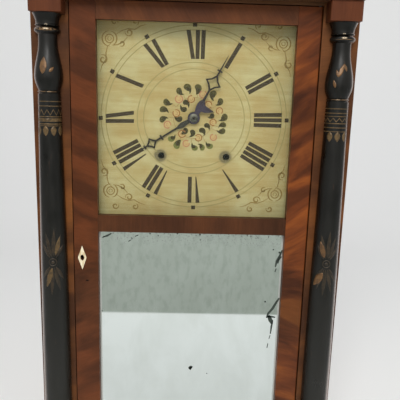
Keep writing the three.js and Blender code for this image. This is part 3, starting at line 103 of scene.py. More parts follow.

# Black paint of the columns: the heights between which dust greys it, and the distances outwards from the
# column's axis over which a painted highlight makes its rim pale
DUST_TOP, DUST_FOOT = 480, 120
FLANK_FROM, FLANK_TO = 3, 9

# Depth of the relief in each finish, and specular level of wood and of paint
RELIEF = {"wood": 0.12, "metal": 0.1, "dial": 0.1, "ebony": 0.2, "bone": 0.1, "glass": 2, "twine": 0.3}
WOOD_SPECULAR = 0.12
PAINT_SPECULAR = 0.12

# Painted dial: laid out a little wide and turned, as the hand that drew it left it
DIAL_CENTRE = (0.5, 588.5)
DIAL_TURN = -0.77
DIAL_STRETCH = (1.015, 0.985)
HOUR_TURN = 30
DOT_RADIUS, DOT_SIZE = 131.2, 5.7
RING_RADII, RING_WIDTH = (130.5, 124, 80), 1.3
# The innermost ring, and the degrees over which it runs, between the winding holes
INNER_RING_RADIUS = 71
RING_ARCS = ((-133, 133), (147, 213))
NUMERAL_IN, NUMERAL_OUT = 84.6, 124
STROKE = 5.8
HAIRLINE = 0.45
PAINT = 0.06

# Half columns, as they are turned
COLUMN_LENGTH = 673
COLUMN_X, COLUMN_Y, COLUMN_Z = 196.1, -44, 47.9
COLUMN_FLAT_Y = -41.3
SHAFT_TOP_RADIUS, SHAFT_FOOT_RADIUS = 15, 20
FOOT_SHARE = 1.08
# Turnings from a block inwards: form, length, first and last radius, swelling
TURNINGS = (
    ("flare", 12.6, 18.8, 14.9, 0),
    ("line", 0.8, 14.9, 14.9, 0),
    ("round", 2.6, 14.9, 14.9, 0.9),
    ("line", 0.8, 14.9, 13.4, 0),
    ("line", 0.8, 13.4, 14.9, 0),
    ("round", 6.8, 14.9, 14.9, 2.1),
    ("line", 1.6, 14.9, 12.3, 0),
    ("line", 8, 12.3, 12.3, 0),
    ("ease", 46, 12.3, 18.8, 0),
    ("bulb", 18.5, 18.8, 14, 0),
    ("round", 2.6, 14, 14, 1.4),
    ("line", 1.3, 14, 14, 0),
)
SHAFT_GROOVE = 0.3
ROUND_FULLNESS = 0.8
# Points of the outline that lie closer than this are one
SAME_PLACE = 0.001
TURNING_STEPS, SHAFT_STEPS, COLUMN_FACETS = 12, 24, 64
# Degrees from which an edge of the turned outline stays sharp
SHARP_EDGE = 35


def linear(colour):
    """A colour read from a picture, made linear. Whatever else comes in goes out as it is."""
    if not isinstance(colour, tuple) or len(colour) != 3:
        return colour
    shares = [value / 255 for value in colour]
    return (*(share / 12.92 if share <= 0.04045 else ((share + 0.055) / 1.055) ** 2.4 for share in shares), 1)


# Shader building


class Shader:
    """A material with its node tree and short calls for the nodes used here."""

    def __init__(self, name, base, roughness, metallic=0.0, specular=0.5):
        self.material = bpy.data.materials.new(name)
        self.material.use_nodes = True
        self.tree = self.material.node_tree
        self.surface = self.tree.nodes["Principled BSDF"]
        self.set("Base Color", linear(base))
        self.set("Roughness", roughness)
        self.set("Metallic", metallic)
        self.set("Specular IOR Level", specular)
        self.place = self.add("ShaderNodeTexCoord").outputs["Object"]

    def set(self, socket, value):
        self.surface.inputs[socket].default_value = value

    def add(self, kind, **inputs):
        made = self.tree.nodes.new(kind)
        for key, value in inputs.items():
            self.feed(made.inputs[key.replace("_", " ")], value)
        return made

    def feed(self, socket, value):
        if isinstance(value, bpy.types.NodeSocket):
            self.tree.links.new(value, socket)
        else:
            socket.default_value = value

    def link(self, socket, output):
        self.tree.links.new(output, self.surface.inputs[socket])

    def colour(self, output):
        self.link("Base Color", output)

    def mapped(self, scale=(1, 1, 1), turn=(0, 0, 0), move=(0, 0, 0), source=None):
        made = self.add("ShaderNodeMapping", Vector=source or self.place)
        made.inputs["Scale"].default_value = scale
        made.inputs["Rotation"].default_value = [math.radians(angle) for angle in turn]
        made.inputs["Location"].default_value = move
        return made.outputs["Vector"]

    def noise(self, scale, detail, roughness, distortion=0.0, source=None, stretch=None):
        vector = self.mapped(scale=stretch, source=source) if stretch else source or self.place
        made = self.add("ShaderNodeTexNoise", Vector=vector, Scale=scale, Detail=detail,
                        Roughness=roughness, Distortion=distortion)
        return made.outputs["Fac"]

    def lay(self, vector, scale):
        """Wavy bands across Z, such as the lay of a cord."""
        made = self.add("ShaderNodeTexWave", Vector=vector, Scale=scale, Distortion=1.0, Detail=3,
                        Detail_Scale=1.5)
        made.bands_direction = "Z"
        return made.outputs["Fac"]

    def cracks(self, vector, scale):
        """Distance to the nearest line of a net of cracks."""
        made = self.add("ShaderNodeTexVoronoi", Vector=vector, Scale=scale)
        made.feature = "DISTANCE_TO_EDGE"
        return made.outputs["Distance"]

    def ramp(self, factor, *stops):
        made = self.add("ShaderNodeValToRGB", Fac=factor)
        elements = made.color_ramp.elements
        while len(elements) < len(stops):
            elements.new(0.5)
        for element, (place, colour) in zip(elements, stops):
            element.position = place
            element.color = linear(colour)
        return made.outputs["Color"]

    def mask(self, factor, low, high):
        made = self.add("ShaderNodeMapRange", Value=factor, From_Min=low, From_Max=high)
        made.clamp = True
        return made.outputs["Result"]

    def math(self, operation, first, second=0.0):
        made = self.tree.nodes.new("ShaderNodeMath")
        made.operation = operation
        self.feed(made.inputs[0], first)
        self.feed(made.inputs[1], second)
        return made.outputs["Value"]

    def mix(self, factor, first, second, kind="MIX"):
        made = self.tree.nodes.new("ShaderNodeMix")
        made.data_type = "RGBA"
        made.blend_type = kind
        # A Mix node has sockets of every kind under the same names, so the colour ones go by number
        for index, value in ((0, factor), (6, first), (7, second)):
            self.feed(made.inputs[index], linear(value))
        return made.outputs[2]

    def axis(self, name):
        return self.add("ShaderNodeSeparateXYZ", Vector=self.place).outputs[name]

    def times(self, first, second):
        return self.math("MULTIPLY", first, second)

    def plus(self, first, second):
        return self.math("ADD", first, second)

    def minus(self, first, second):
        return self.math("SUBTRACT", first, second)

    def reach_from(self, x, z):
        """Distance from a line along Y, given in millimetres."""
        across = self.minus(self.axis("X"), x * MM)
        along = self.minus(self.axis("Z"), z * MM)
        return self.math("SQRT", self.plus(self.times(across, across), self.times(along, along)))

    def bump(self, height, strength, finish):
        made = self.add("ShaderNodeBump", Height=height, Strength=strength, Distance=RELIEF[finish] * MM)
        self.link("Normal", made.outputs["Normal"])


def wood(name, tones, along, figure, tilt=0.0, gloss=0.36, shift=0.0):
    """Figured wood: long fibres along one axis, broad bands across them, fine dark pores."""
    dark, middle, light = tones
    shader = Shader(name, middle, gloss, specular=WOOD_SPECULAR)
    tilted = shader.mapped(turn=(0, tilt, 0), move=(shift, shift, shift))
    squeeze = {"X": (0.05, 1, 1), "Z": (1, 1, 0.05)}[along]
    fibre = shader.mapped(scale=squeeze, source=tilted)
    broad = shader.noise(16, 4, 0.6, 0.6, source=fibre)
    flamed = shader.mapped(scale=[0.45 if part < 1 else 1 for part in squeeze], source=tilted)
    flame = shader.noise(19, 5, 0.62, 1.4, source=flamed)
    figured = shader.mix(figure, broad, flame)
    colour = shader.ramp(figured, (0.38, dark), (0.5, middle), (0.63, light))
    finish_wood(shader, colour, fibre, gloss, 1.0)
    return shader


def finish_wood(shader, colour, fibre, gloss, pores):
    """Fine streaks, pores, and the sheen and relief that go with them."""
    fine = shader.noise(420, 3, 0.7, source=fibre)
    streak = shader.ramp(fine, (0.25, (0.8, 0.8, 0.8, 1)), (0.7, (1.06, 1.06, 1.06, 1)))
    colour = shader.mix(1.0, colour, streak, "MULTIPLY")
    pore = shader.mask(shader.noise(1500, 2, 0.6, source=fibre), 0.66, 0.8)
    colour = shader.mix(shader.times(pore, 0.45 * pores), colour, (24, 13, 8))
    shader.colour(colour)
    smoothest, roughest = (-0.6, 2.2) if gloss < 0.5 else (-1.2, 1.4)
    shader.link("Roughness", shader.mask(fine, smoothest, roughest))
    shader.bump(shader.minus(fine, shader.times(pore, 0.8)), 0.25, "wood")


def arbored_cherry(name, x, z):
    """Cherry turned on a dark iron arbor, whose axis passes through x and z."""
    shader = wood(name, CHERRY_TONES, "X", **CHERRY_LOOKS)
    grain = shader.surface.inputs["Base Color"].links[0].from_socket
    iron = shader.mask(shader.reach_from(x, z), (ARBOR_RADIUS + ARBOR_BLUR) * MM, ARBOR_RADIUS * MM)
    shader.colour(shader.mix(iron, grain, (44, 38, 28)))
    return shader.material


# Height above and below the turn over which a veneer's figure passes from one slope to the other
FIGURE_TURN = 60
CROTCH_GLOSS = 0.34


def crotch(name, tones, middle_x, slopes, turn_z, shift, band_scale, zones):
    """Crotch veneer: soft dark bands that cross the piece at one slope below turn_z and another above it.
    The zones are lighter and darker stretches of the leaf: (height, tone) from the bottom up."""
    dark, middle, light = tones
    shader = Shader(name, middle, CROTCH_GLOSS, specular=WOOD_SPECULAR)
    x, z = shader.axis("X"), shader.axis("Z")
    part = shader.minus(x, middle_x * MM)
    above = shader.mask(z, (turn_z - FIGURE_TURN) * MM, (turn_z + FIGURE_TURN) * MM)
    slope = shader.plus(slopes[0], shader.times(above, slopes[1] - slopes[0]))
    across = shader.minus(z, shader.times(part, slope))
    leaf_place = shader.add("ShaderNodeCombineXYZ", X=part, Y=shift, Z=across).outputs["Vector"]
    bands = shader.noise(band_scale, 4, 0.5, 0.5, source=leaf_place, stretch=(0.4, 1, 1))
    colour = shader.ramp(bands, (0.4, dark), (0.5, middle), (0.6, light))
    low, high = zones[0][0], zones[-1][0]
    height = shader.mask(z, low * MM, high * MM)
    stops = [((place - low) / (high - low), (*tone, 1)) for place, tone in zones]
    colour = shader.mix(1.0, colour, shader.ramp(height, *stops), "MULTIPLY")
    fibre = shader.mapped(scale=(0.12, 1, 1), source=leaf_place)
    finish_wood(shader, colour, fibre, CROTCH_GLOSS, 0.7)
    return shader.material


def worn_metal(name, base, dark, roughness, metallic):
    shader = Shader(name, base, roughness, metallic)
    cloud = shader.noise(120, 4, 0.6)
    spots = shader.mask(shader.noise(900, 3, 0.7), 0.55, 0.75)
    colour = shader.ramp(cloud, (0.3, dark), (0.62, base))
    shader.colour(shader.mix(shader.times(spots, 0.5), colour, dark))
    shader.link("Roughness", shader.mask(cloud, 0.9, 0.9 - 0.24 / roughness))
    shader.bump(spots, 0.15, "metal")
    return shader.material


def hand_steel(name, base, dark, blue):
    """Hand steel gone brown, with some of its blueing left near the hub."""
    shader = Shader(name, base, 0.5, 0.2, 0.3)
    cloud = shader.noise(260, 4, 0.6)
    tone = shader.ramp(cloud, (0.38, dark), (0.6, base))
    kept = shader.mask(shader.reach_from(*HUB), BLUE_GONE * MM, BLUE_WHOLE * MM)
    shader.colour(shader.mix(shader.times(kept, 0.7), tone, blue))
    shader.bump(cloud, 0.15, "metal")
    return shader.material


def paint(name, base, wear, amount):
    """Hand-applied paint, thin and worn in places."""
    shader = Shader(name, base, 0.55, specular=PAINT_SPECULAR)
    rubbed = shader.mask(shader.noise(700, 4, 0.7), 0.42, 0.7)
    shader.colour(shader.mix(shader.times(rubbed, amount), base, wear))
    return shader.material


def dial_paint():
    """Cream ground, yellowed in clouds and level streaks, with fine craquelure and stained holes."""
    shader = Shader("dial_ground", (186, 172, 116), 0.55, specular=0.2)
    cloud = shader.noise(22, 4, 0.55)
    tone = shader.ramp(cloud, (0.38, (168, 146, 87)), (0.5, (175, 160, 104)), (0.62, (182, 173, 122)))
    grain = shader.noise(260, 3, 0.6, stretch=(0.06, 1, 1))
    streaks = shader.ramp(grain, (0.35, (154, 140, 87)), (0.65, (190, 181, 131)))
    tone = shader.mix(0.3, tone, streaks)
    for hole_x in (HUB[0] - HOLE_SPREAD, HUB[0] + HOLE_SPREAD):
        reach = shader.reach_from(hole_x, HUB[1] - HOLE_DROP)
        for shares, amount, colour in ((HALO_SHARES, 0.3, (136, 112, 68)), (STAIN_SHARES, 0.8, (92, 86, 60))):
            stain = shader.mask(reach, *(HOLE_RADIUS * share * MM for share in shares))
            tone = shader.mix(shader.times(stain, amount), tone, colour)
    cracks = shader.mask(shader.cracks(shader.mapped(scale=(1, 1, 0.6)), 230), 0.03, 0.0)
    tone = shader.mix(shader.times(cracks, 0.1), tone, (120, 100, 60))
    shader.colour(tone)
    shader.bump(grain, 0.1, "dial")
    return shader.material


def aged_mirror():
    """Silvered glass: greyed metal, clouded in upright streaks, with specks along its top edge and a painted
    highlight down its bevelled sides.
    """
    shader = Shader("aged_silver", (214, 222, 214), 0.05, 1.0)
    broad = shader.noise(18, 4, 0.6, 0.5, stretch=(1, 1, 0.5))
    mottle = shader.noise(130, 3, 0.6, stretch=(1, 1, 0.45))
    tint = shader.ramp(broad, (0.38, (204, 211, 208)), (0.62, (212, 219, 217)))
    height = shader.axis("Z")
    clouded = shader.mask(height, (CLOUD_FROM - CLOUD_BLUR) * MM, (CLOUD_FROM + CLOUD_BLUR) * MM)
    haze = shader.times(shader.mask(mottle, 0.48, 0.66), shader.times(clouded, 0.24))
    tint = shader.mix(haze, tint, (150, 160, 154))
    near_top = shader.mask(height, (MIRROR_TOP - SPECK_DEPTH) * MM, MIRROR_TOP * MM)
    specks = shader.mask(shader.noise(460, 2, 0.5), 0.6, 0.66)
    lost = shader.times(specks, near_top)
    tint = shader.mix(lost, tint, (72, 76, 66))
    # Painted highlight: a pale, less metallic strip down each side, where the bevel catches light
    aside = shader.math("ABSOLUTE", shader.minus(shader.axis("X"), MIRROR_MIDDLE * MM))
    flat = MIRROR_REACH - BEVEL
    bevel = shader.mask(aside, (flat - BEVEL_BLUR) * MM, (flat + BEVEL_BLUR) * MM)
    shader.colour(shader.mix(bevel, tint, (196, 200, 194)))
    dull = shader.times(shader.math("MAXIMUM", lost, bevel), 0.8)
    shader.link("Metallic", shader.minus(1.0, dull))
    clouds = shader.plus(lost, shader.times(broad, 0.1))
    shader.link("Roughness", shader.mask(clouds, 0.0, 1.8))
    return shader.material


def ebony_paint():
    """Black paint over turned wood, brown where it is rubbed and greyed by dust towards its foot, with a
    painted highlight down its outer flank.
    """
    shader = Shader("ebonised_wood", (16, 16, 13), 0.3, specular=0.32)
    cloud = shader.noise(90, 4, 0.6, stretch=(1, 1, 0.3))
    tone = shader.ramp(cloud, (0.35, (5, 5, 3)), (0.68, (13, 12, 8)))
    dusty = shader.mask(shader.axis("Z"), DUST_TOP * MM, DUST_FOOT * MM)
    tone = shader.mix(shader.times(dusty, 0.7), tone, (36, 36, 31))
    rubbed = shader.mask(shader.noise(420, 3, 0.7, stretch=(1, 1, 0.12)), 0.64, 0.76)
    tone = shader.mix(shader.times(rubbed, 0.4), tone, (74, 52, 36))
    # The finish is dull face on and shines along its outline; a painted highlight makes the outer flank
    # palest
    facing = shader.add("ShaderNodeLayerWeight", Blend=0.5).outputs["Facing"]
    aside = shader.math("ABSOLUTE", shader.axis("X"))
    outer = shader.mask(aside, (COLUMN_X + FLANK_FROM) * MM, (COLUMN_X + FLANK_TO) * MM)
    rim = shader.times(outer, shader.mask(facing, 0.5, 0.8))
    # Painted highlight: the outer rim is mixed towards a pale warm grey
    shader.colour(shader.mix(shader.times(rim, 0.9), tone, (156, 140, 132)))
    shine = shader.minus(1.0, shader.times(shader.mask(facing, 0.4, 0.62), 0.75))
    shader.link("Roughness", shader.times(shader.times(cloud, 0.9), shine))
    shader.bump(cloud, 0.06, "ebony")
    return shader.material


def gilt(name, base, thin, cover):
    """Bronze powder stencilled on black: bright where thick, showing the black where thin."""
    shader = Shader(name, base, 0.4, 0.3)
    grains = shader.noise(1400, 3, 0.7)
    cloud = shader.noise(160, 3, 0.6)
    rubbed = shader.plus(shader.times(grains, 0.5), shader.times(cloud, 0.6))
    shader.colour(shader.mix(shader.mask(rubbed, cover, cover + 0.2), base, thin))
    return shader.material


def bone():
    shader = Shader("bone_inlay", (222, 208, 172), 0.4)
    cloud = shader.noise(500, 3, 0.6, stretch=(1, 1, 0.2))
    shader.colour(shader.ramp(cloud, (0.35, (190, 168, 124)), (0.6, (230, 220, 190))))
    shader.bump(cloud, 0.1, "bone")
    return shader.material


def pane_glass():
    shader = Shader("old_glass", (120, 130, 120), 0.04)
    shader.set("Alpha", 0.04)
    shader.bump(shader.noise(9, 2, 0.5), 0.06, "glass")
    return shader.material


def twine():
    shader = Shader("twine", (186, 170, 136), 0.9)
    lay = shader.lay(shader.mapped(turn=(35, 0, 0)), 700)
    shader.colour(shader.ramp(lay, (0.2, (140, 122, 90)), (0.8, (200, 186, 152))))
    shader.bump(lay, 0.6, "twine")
    return shader.material


# Mesh building


def put(name, data):
    """An object in the scene that shows the data."""
    made = bpy.data.objects.new(name, data)
    bpy.context.collection.objects.link(made)
    return made


def finish_piece(name, work, material, body, smooth):
    mesh = bpy.data.meshes.new(name)
    work.to_mesh(mesh)
    work.free()
    piece = put(name, mesh)
    mesh.materials.append(material)
    if smooth:
        mesh.shade_smooth()
    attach(piece, body)
    return piece


def mesh_of(name, points, faces):
    mesh = bpy.data.meshes.new(name)
    mesh.from_pydata(points, [], faces)
    return mesh


# Times that a drawing's long edges are halved, at most, before it bends round a column
CUT_ROUNDS = 4


class Painting:
    """Flat strokes and shapes drawn in millimetres and laid as one thin closed layer."""

    def __init__(self):
        self.points = []
        self.faces = []

    def polygon(self, outline):
        start = len(self.points)
        self.points.extend(outline)
        self.faces.append(list(range(start, start + len(outline))))

    def ribbon(self, line, widths, closed=False):
        start = len(self.points)
        count = len(line)
        for k, (x, z) in enumerate(line):
            before = line[(k - 1) % count] if closed or k else line[0]
            after = line[(k + 1) % count] if closed or k < count - 1 else line[-1]
            dx, dz = after[0] - before[0], after[1] - before[1]
            reach = math.hypot(dx, dz) or 1
            half = (widths[k] if isinstance(widths, (list, tuple)) else widths) / 2
            self.points.append((x - dz / reach * half, z + dx / reach * half))
            self.points.append((x + dz / reach * half, z - dx / reach * half))
        for k in range(count if closed else count - 1):
            a, b = start + 2 * k, start + 2 * ((k + 1) % count)
            self.faces.append([a, a + 1, b + 1, b])

    def lay(self, name, place, material, body, slot, cell=None):
        """Makes the layer. With a cell, its faces are first cut to that size, to bend round a column."""
        work = bmesh.new()
        made = [work.verts.new((x, 0, z)) for x, z in self.points]
        for face in self.faces:
            work.faces.new([made[index] for index in face])
        bmesh.ops.triangulate(work, faces=work.faces[:])
        if cell:
            for _ in range(CUT_ROUNDS):
                long = [edge for edge in work.edges if edge.calc_length() > cell]
                if not long:
                    break
                bmesh.ops.subdivide_edges(work, edges=long, cuts=1)
                bmesh.ops.triangulate(work, faces=work.faces[:])
        for vert in work.verts:
            vert.co = place(vert.co.x, vert.co.z)
        bmesh.ops.recalc_face_normals(work, faces=work.faces[:])
        piece = finish_piece(name, work, material, body, bool(cell))
        shell = piece.modifiers.new("thickness", "SOLIDIFY")
        shell.thickness = PAINT * MM
        shell.offset = 0


def circle(x, z, radius, parts, start=0.0, sweep=360.0):
    count = parts if sweep >= 360 else parts + 1
    return [(x + radius * math.sin(math.radians(start + sweep * k / parts)),
             z + radius * math.cos(math.radians(start + sweep * k / parts))) for k in range(count)]


def steps(count):
    """Shares from 0 to 1 in even steps."""
    return [k / count for k in range(count + 1)]


# Steps of a scroll, and the share of its radius that it loses as it winds in
SPIRAL_STEPS = 26
WINDING_SHARE = 0.72


def spiral(x, z, radius, start, turns):
    """A scroll that winds in from its outer end."""
    line = []
    for share in steps(SPIRAL_STEPS):
        angle = math.radians(start + 360 * turns * share)
        reach = radius * (1 - WINDING_SHARE * share)
        line.append((x + reach * math.sin(angle), z + reach * math.cos(angle)))
    return line


def turned(angle, points):
    """Points turned clockwise about the centre by degrees."""
    c, s = math.cos(math.radians(angle)), math.sin(math.radians(angle))
    return [(x * c + z * s, z * c - x * s) for x, z in points]


# Camera, light and stage


def set_camera():
    pitch, yaw, roll = (math.radians(angle) for angle in (PITCH, YAW, ROLL))
    ahead = Vector((math.sin(yaw) * math.cos(pitch), math.cos(yaw) * math.cos(pitch), math.sin(pitch)))
    side = Vector((math.cos(yaw), -math.sin(yaw), 0))
    above = side.cross(ahead)
    right = math.cos(roll) * side + math.sin(roll) * above
    up = -math.sin(roll) * side + math.cos(roll) * above
    data = bpy.data.cameras.new("camera")
    data.sensor_width = SENSOR
    data.lens = SENSOR * FOCAL_PIXELS / FRAME_WIDTH
    data.clip_start = CLIP_START
    camera = put("camera", data)
    turn = Matrix((right, up, -ahead)).transposed()
    camera.matrix_world = Matrix.Translation(Vector(CAMERA_AT) * MM) @ turn.to_4x4()
    bpy.context.scene.camera = camera


def area_light(name, at, aim, size, power, colour, shows):
    data = bpy.data.lights.new(name, "AREA")
    data.shape = "RECTANGLE"
    data.size, data.size_y = size
    data.energy = power
    data.color = colour
    light = put(name, data)
    light.location = at
    light.rotation_euler = (Vector(aim) - Vector(at)).to_track_quat("-Z", "Y").to_euler()
    light.visible_glossy = shows


def set_world():
    """Even light from all around, and a plain backdrop wherever the camera, gloss or glass looks out."""
    world = bpy.data.worlds.new("studio")
    bpy.context.scene.world = world
    world.use_nodes = True
    tree = world.node_tree
    ambient = tree.nodes["Background"]
    ambient.inputs["Color"].default_value = AMBIENT_COLOUR
    ambient.inputs["Strength"].default_value = AMBIENT_STRENGTH
    plain = tree.nodes.new("ShaderNodeBackground")
    plain.inputs["Color"].default_value = linear(BACKDROP_COLOUR)
    rays = tree.nodes.new("ShaderNodeLightPath").outputs
    seen = rays["Is Camera Ray"]
    for ray in ("Is Transmission Ray", "Is Glossy Ray"):
        either = tree.nodes.new("ShaderNodeMath")
        either.operation = "MAXIMUM"
        tree.links.new(seen, either.inputs[0])
        tree.links.new(rays[ray], either.inputs[1])
        seen = either.outputs[0]
    blend = tree.nodes.new("ShaderNodeMixShader")
    for socket, output in zip(blend.inputs, (seen, ambient.outputs[0], plain.outputs[0])):
        tree.links.new(output, socket)
    tree.links.new(blend.outputs[0], tree.nodes["World Output"].inputs["Surface"])


def set_stage():
    """A pale floor that sweeps up behind the clock. The looking-glass shows it as far as the table's
    edge and then a darker room."""
    floor = Shader("pale_floor", FLOOR_COLOUR, 0.9)
    edge = floor.mask(floor.axis("Y"), TABLE_EDGE_Y + TABLE_EDGE_BLUR, TABLE_EDGE_Y - TABLE_EDGE_BLUR)
    glossy = floor.add("ShaderNodeLightPath").outputs["Is Glossy Ray"]
    beyond = floor.times(edge, glossy)
    floor.colour(floor.mix(beyond, FLOOR_COLOUR, ROOM_COLOUR))
    line = [(-STAGE_REACH, 0)]
    for share in steps(SWEEP_STEPS):
        angle = share * math.pi / 2
        line.append((SWEEP_START + SWEEP_RADIUS * math.sin(angle), SWEEP_RADIUS * (1 - math.cos(angle))))
    line.append((SWEEP_START + SWEEP_RADIUS, STAGE_REACH))
    points = [(x, y, z) for y, z in line for x in (-STAGE_REACH, STAGE_REACH)]
    faces = [(2 * k, 2 * k + 1, 2 * k + 3, 2 * k + 2) for k in range(len(line) - 1)]
    mesh = mesh_of("floor", points, faces)
    mesh.materials.append(floor.material)
    mesh.shade_smooth()
    put("floor", mesh)


# Half columns


def turning(form, length, first, last, swelling):
    """One turned form as (radius, distance along it)."""
    if form == "line":
        return [(first, 0), (last, length)]
    made = []
    for share in steps(TURNING_STEPS):
        if form == "flare":
            radius = first + (last - first) * math.sin(share * math.pi / 2)
        elif form == "round":
            radius = first + swelling * math.sin(share * math.pi) ** ROUND_FULLNESS
        elif form == "bulb":
            radius = last + (first - last) * math.cos(share * math.pi / 2)
        else:
            radius = first + (last - first) * (1 - math.cos(share * math.pi)) / 2
        made.append((radius, length * share))
    return made


def column_end():
    """The turned outline of one end, from its block inwards, as (radius, distance)."""
    line = []
    along = 0
    for form, length, first, last, swelling in TURNINGS:
        for radius, part in turning(form, length, first, last, swelling):
            point = (radius, along + part)
            if not line or math.dist(point, line[-1]) > SAME_PLACE:
                line.append(point)
        along += length
    return line


def column_outline():
    """The whole outline from the foot up: the foot's turnings are fuller, and the shaft tapers."""
    end = column_end()
    outline = [(radius * FOOT_SHARE if along else radius, along) for radius, along in end]
    start = end[-1][1] + SHAFT_GROOVE
    stop = COLUMN_LENGTH - start
    for share in steps(SHAFT_STEPS):
        fall = (SHAFT_FOOT_RADIUS - SHAFT_TOP_RADIUS) * (1 - math.cos(share * math.pi / 2))
        outline.append((SHAFT_FOOT_RADIUS - fall, start + (stop - start) * share))
    outline += [(radius, COLUMN_LENGTH - along) for radius, along in reversed(end)]
    return outline


def column_radius(height, outline):
    for (r0, a0), (r1, a1) in zip(outline, outline[1:]):
        if a0 <= height <= a1 and a1 > a0:
            return r0 + (r1 - r0) * (height - a0) / (a1 - a0)
    return outline[-1][0]


def column_ring(work, side, radius, along):
    """One ring of points round a half column, closed by the flat at its back."""
    edge = math.asin(min(1, (COLUMN_FLAT_Y - COLUMN_Y) / radius))
    ring = []
    for share in steps(COLUMN_FACETS):
        angle = -edge + (math.pi + 2 * edge) * share
        point = (side * COLUMN_X - radius * math.cos(angle), COLUMN_Y - radius * math.sin(angle),
                 COLUMN_Z + along)
        ring.append(work.verts.new(Vector(point) * MM))
    return ring


def build_column(side, word, material, outline):
    work = bmesh.new()
    rings = [column_ring(work, side, radius, along) for radius, along in outline]
    for low, high in zip(rings, rings[1:]):
        for k in range(COLUMN_FACETS):
            work.faces.new((low[k], low[k + 1], high[k + 1], high[k]))
        work.faces.new((low[-1], low[0], high[0], high[-1]))
    work.faces.new(rings[0])
    work.faces.new(rings[-1])
    bmesh.ops.recalc_face_normals(work, faces=work.faces[:])
    for face in work.faces:
        face.smooth = True
    for edge in work.edges:
        edge.smooth = edge.calc_face_angle(0) < math.radians(SHARP_EDGE)
    piece = finish_piece(f"turned_column_{word}", work, material, "case", False)
    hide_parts(f"column_{word}")


def on_column(side, outline, lift):
    """Maps (distance round from the middle line, height) onto the column."""
    def place(x, z):
        radius = column_radius(z - COLUMN_Z, outline) + lift
        angle = x / radius
        around = (side * COLUMN_X + radius * math.sin(angle), COLUMN_Y - radius * math.cos(angle), z)
        return Vector(around) * MM
    return place


# Gilding of the columns

# A leaf's right half from its stalk, and a band tapered to a point at either end, as shares of their reach
LEAF = ((0, 0), (0.32, 0.16), (0.5, 0.4), (0.42, 0.66), (0.18, 0.88))
LENS = ((-1, 0), (-0.6, -0.75), (0, -1), (0.6, -0.75), (1, 0), (0.6, 0.75), (0, 1), (-0.6, 0.75))


def leaf(x, z, length, width, angle):
    """A pointed leaf from its stalk, turned clockwise from upright by angle."""
    right = [(width * a, length * b) for a, b in LEAF]
    left = [(-width * a, length * b) for a, b in LEAF[:0:-1]]
    return [(x + px, z + pz) for px, pz in turned(angle, [*right, (0, length), *left])]


def lens(x, z, reach, half):
    return [(x + reach * a, z + half * b) for a, b in LENS]


# Gold powder: colour where thick, colour where thin, and how much of it is left
GOLDS = {
    "bright": ((112, 80, 46), (70, 50, 32), 0.5),
    "bands": ((102, 80, 48), (62, 50, 32), 0.48),
    "dim": ((58, 46, 31), (32, 28, 21), 0.46),
    # Gold left on the ring crests, also standing in for their highlights
    "rings": ((128, 98, 64), (84, 66, 44), 0.5),
    # Not gold but a painted highlight: pale where it is strong, warmer where it fades
    "painted_highlight": ((206, 188, 160), (150, 128, 100), 0.55),
}
# Layers of gilding: gold on the left column, gold on the right one, and lift off the wood
GILT_LAYERS = {
    "vase": ("bright", "bright", 0.06),
    "bands": ("bands", "bands", 0.06),
    "spray": ("dim", "dim", 0.06),
    "petals": ("bands", "bright", 0.12),
    "rings": ("rings", "rings", 0.06),
    # Painted highlights on the crests of the rings
    "painted_highlights": ("painted_highlight", "painted_highlight", 0.12),
}
GILT_CELL = 3
# Gilding, in millimetres round the column from its middle line and in height: leaves are (place round,
# height, length, width, turn)
VASE_LEAVES = {
    "left": ((-3.6, 643.4, 22.5, 9.8, 5), (5.2, 646.2, 9, 4.2, 42)),
    "right": ((-6.2, 650.3, 19.2, 5.4, 22), (-6.2, 650.3, 10.4, 4.2, -16), (-9.5, 636.2, 11.4, 4.4, -15),
              (4.8, 657.8, 10.8, 4, -19)),
}
# Gilding left on the crest of the turned ring and of the bead below the vase, painted brighter to stand in
# for their highlights as well: (from, to, top edge, height)
RING_BANDS = {
    "left": ((-14, 17, 702.3, 4), (-16, 16, 621.5, 0.9)),
    "right": ((-15, 15, 699.2, 0.7), (-15, 15, 621.5, 0.8)),
}
# Painted highlights on the crests of the rings: (place towards the door, width, top edge, height)
PAINTED_RING_HIGHLIGHTS = ((2.2, 8, 701.8, 2.2), (2.4, 4.2, 706.6, 1.4), (4, 6, 621.7, 1.5))
# Bands are (top edge, height of the band)
BANDS = {
    "left": ((608.9, 1.1), (602.9, 1.3), (588.9, 1.2), (586.2, 4.6), (579.4, 1.6), (576.6, 0.9)),
    "right": ((609.6, 0.9), (603.8, 1.2), (599.4, 1), (590, 1.2), (584.2, 1.1), (579, 1.1)),
}
ZIGZAG = {"left": (597.6, 590.4), "right": (596.6, 591.6)}
ZIGZAG_STEP, ZIGZAG_WIDTH = 4.2, 1.7
BAND_REACH = 25
# Leaves that hang below the bands: top edge, place of the first one, step, and length and width
HANGING_TOP = {"left": 576.2, "right": 578.2}
HANGING_FIRST = {"left": -13.1, "right": -11.5}
HANGING_STEP, HANGING_COUNT = 10.8, 4
HANGING_LEAF = (13.8, 8.2)
# A spray in the middle of the shaft: a round boss with leaves above and below it
BOSS = {"left": (2.6, 386.2), "right": (-2.6, 391.2)}
BOSS_RADIUS, BOSS_LINE = 5.2, 1.5
BOSS_HEART_SHARE = 0.5
# (turn, length, width) of each leaf in one half of the spray, and their distance from the boss's middle
SPRAY_LEAVES = ((-30, 24, 5), (-13, 36, 5.6), (3, 41, 5.6), (17, 34, 5), (33, 22, 4.6))
SPRAY_GAP = 7.5
# Single brighter leaves over the spray: (place round, height, length, width, turn)
PETALS = {"left": ((1.6, 378, 30, 7, 196), (6.4, 396, 28, 6.4, 14)),
          "right": ((-6.5, 378, 26, 10.5, 212), (-6, 400, 25, 8, -17))}


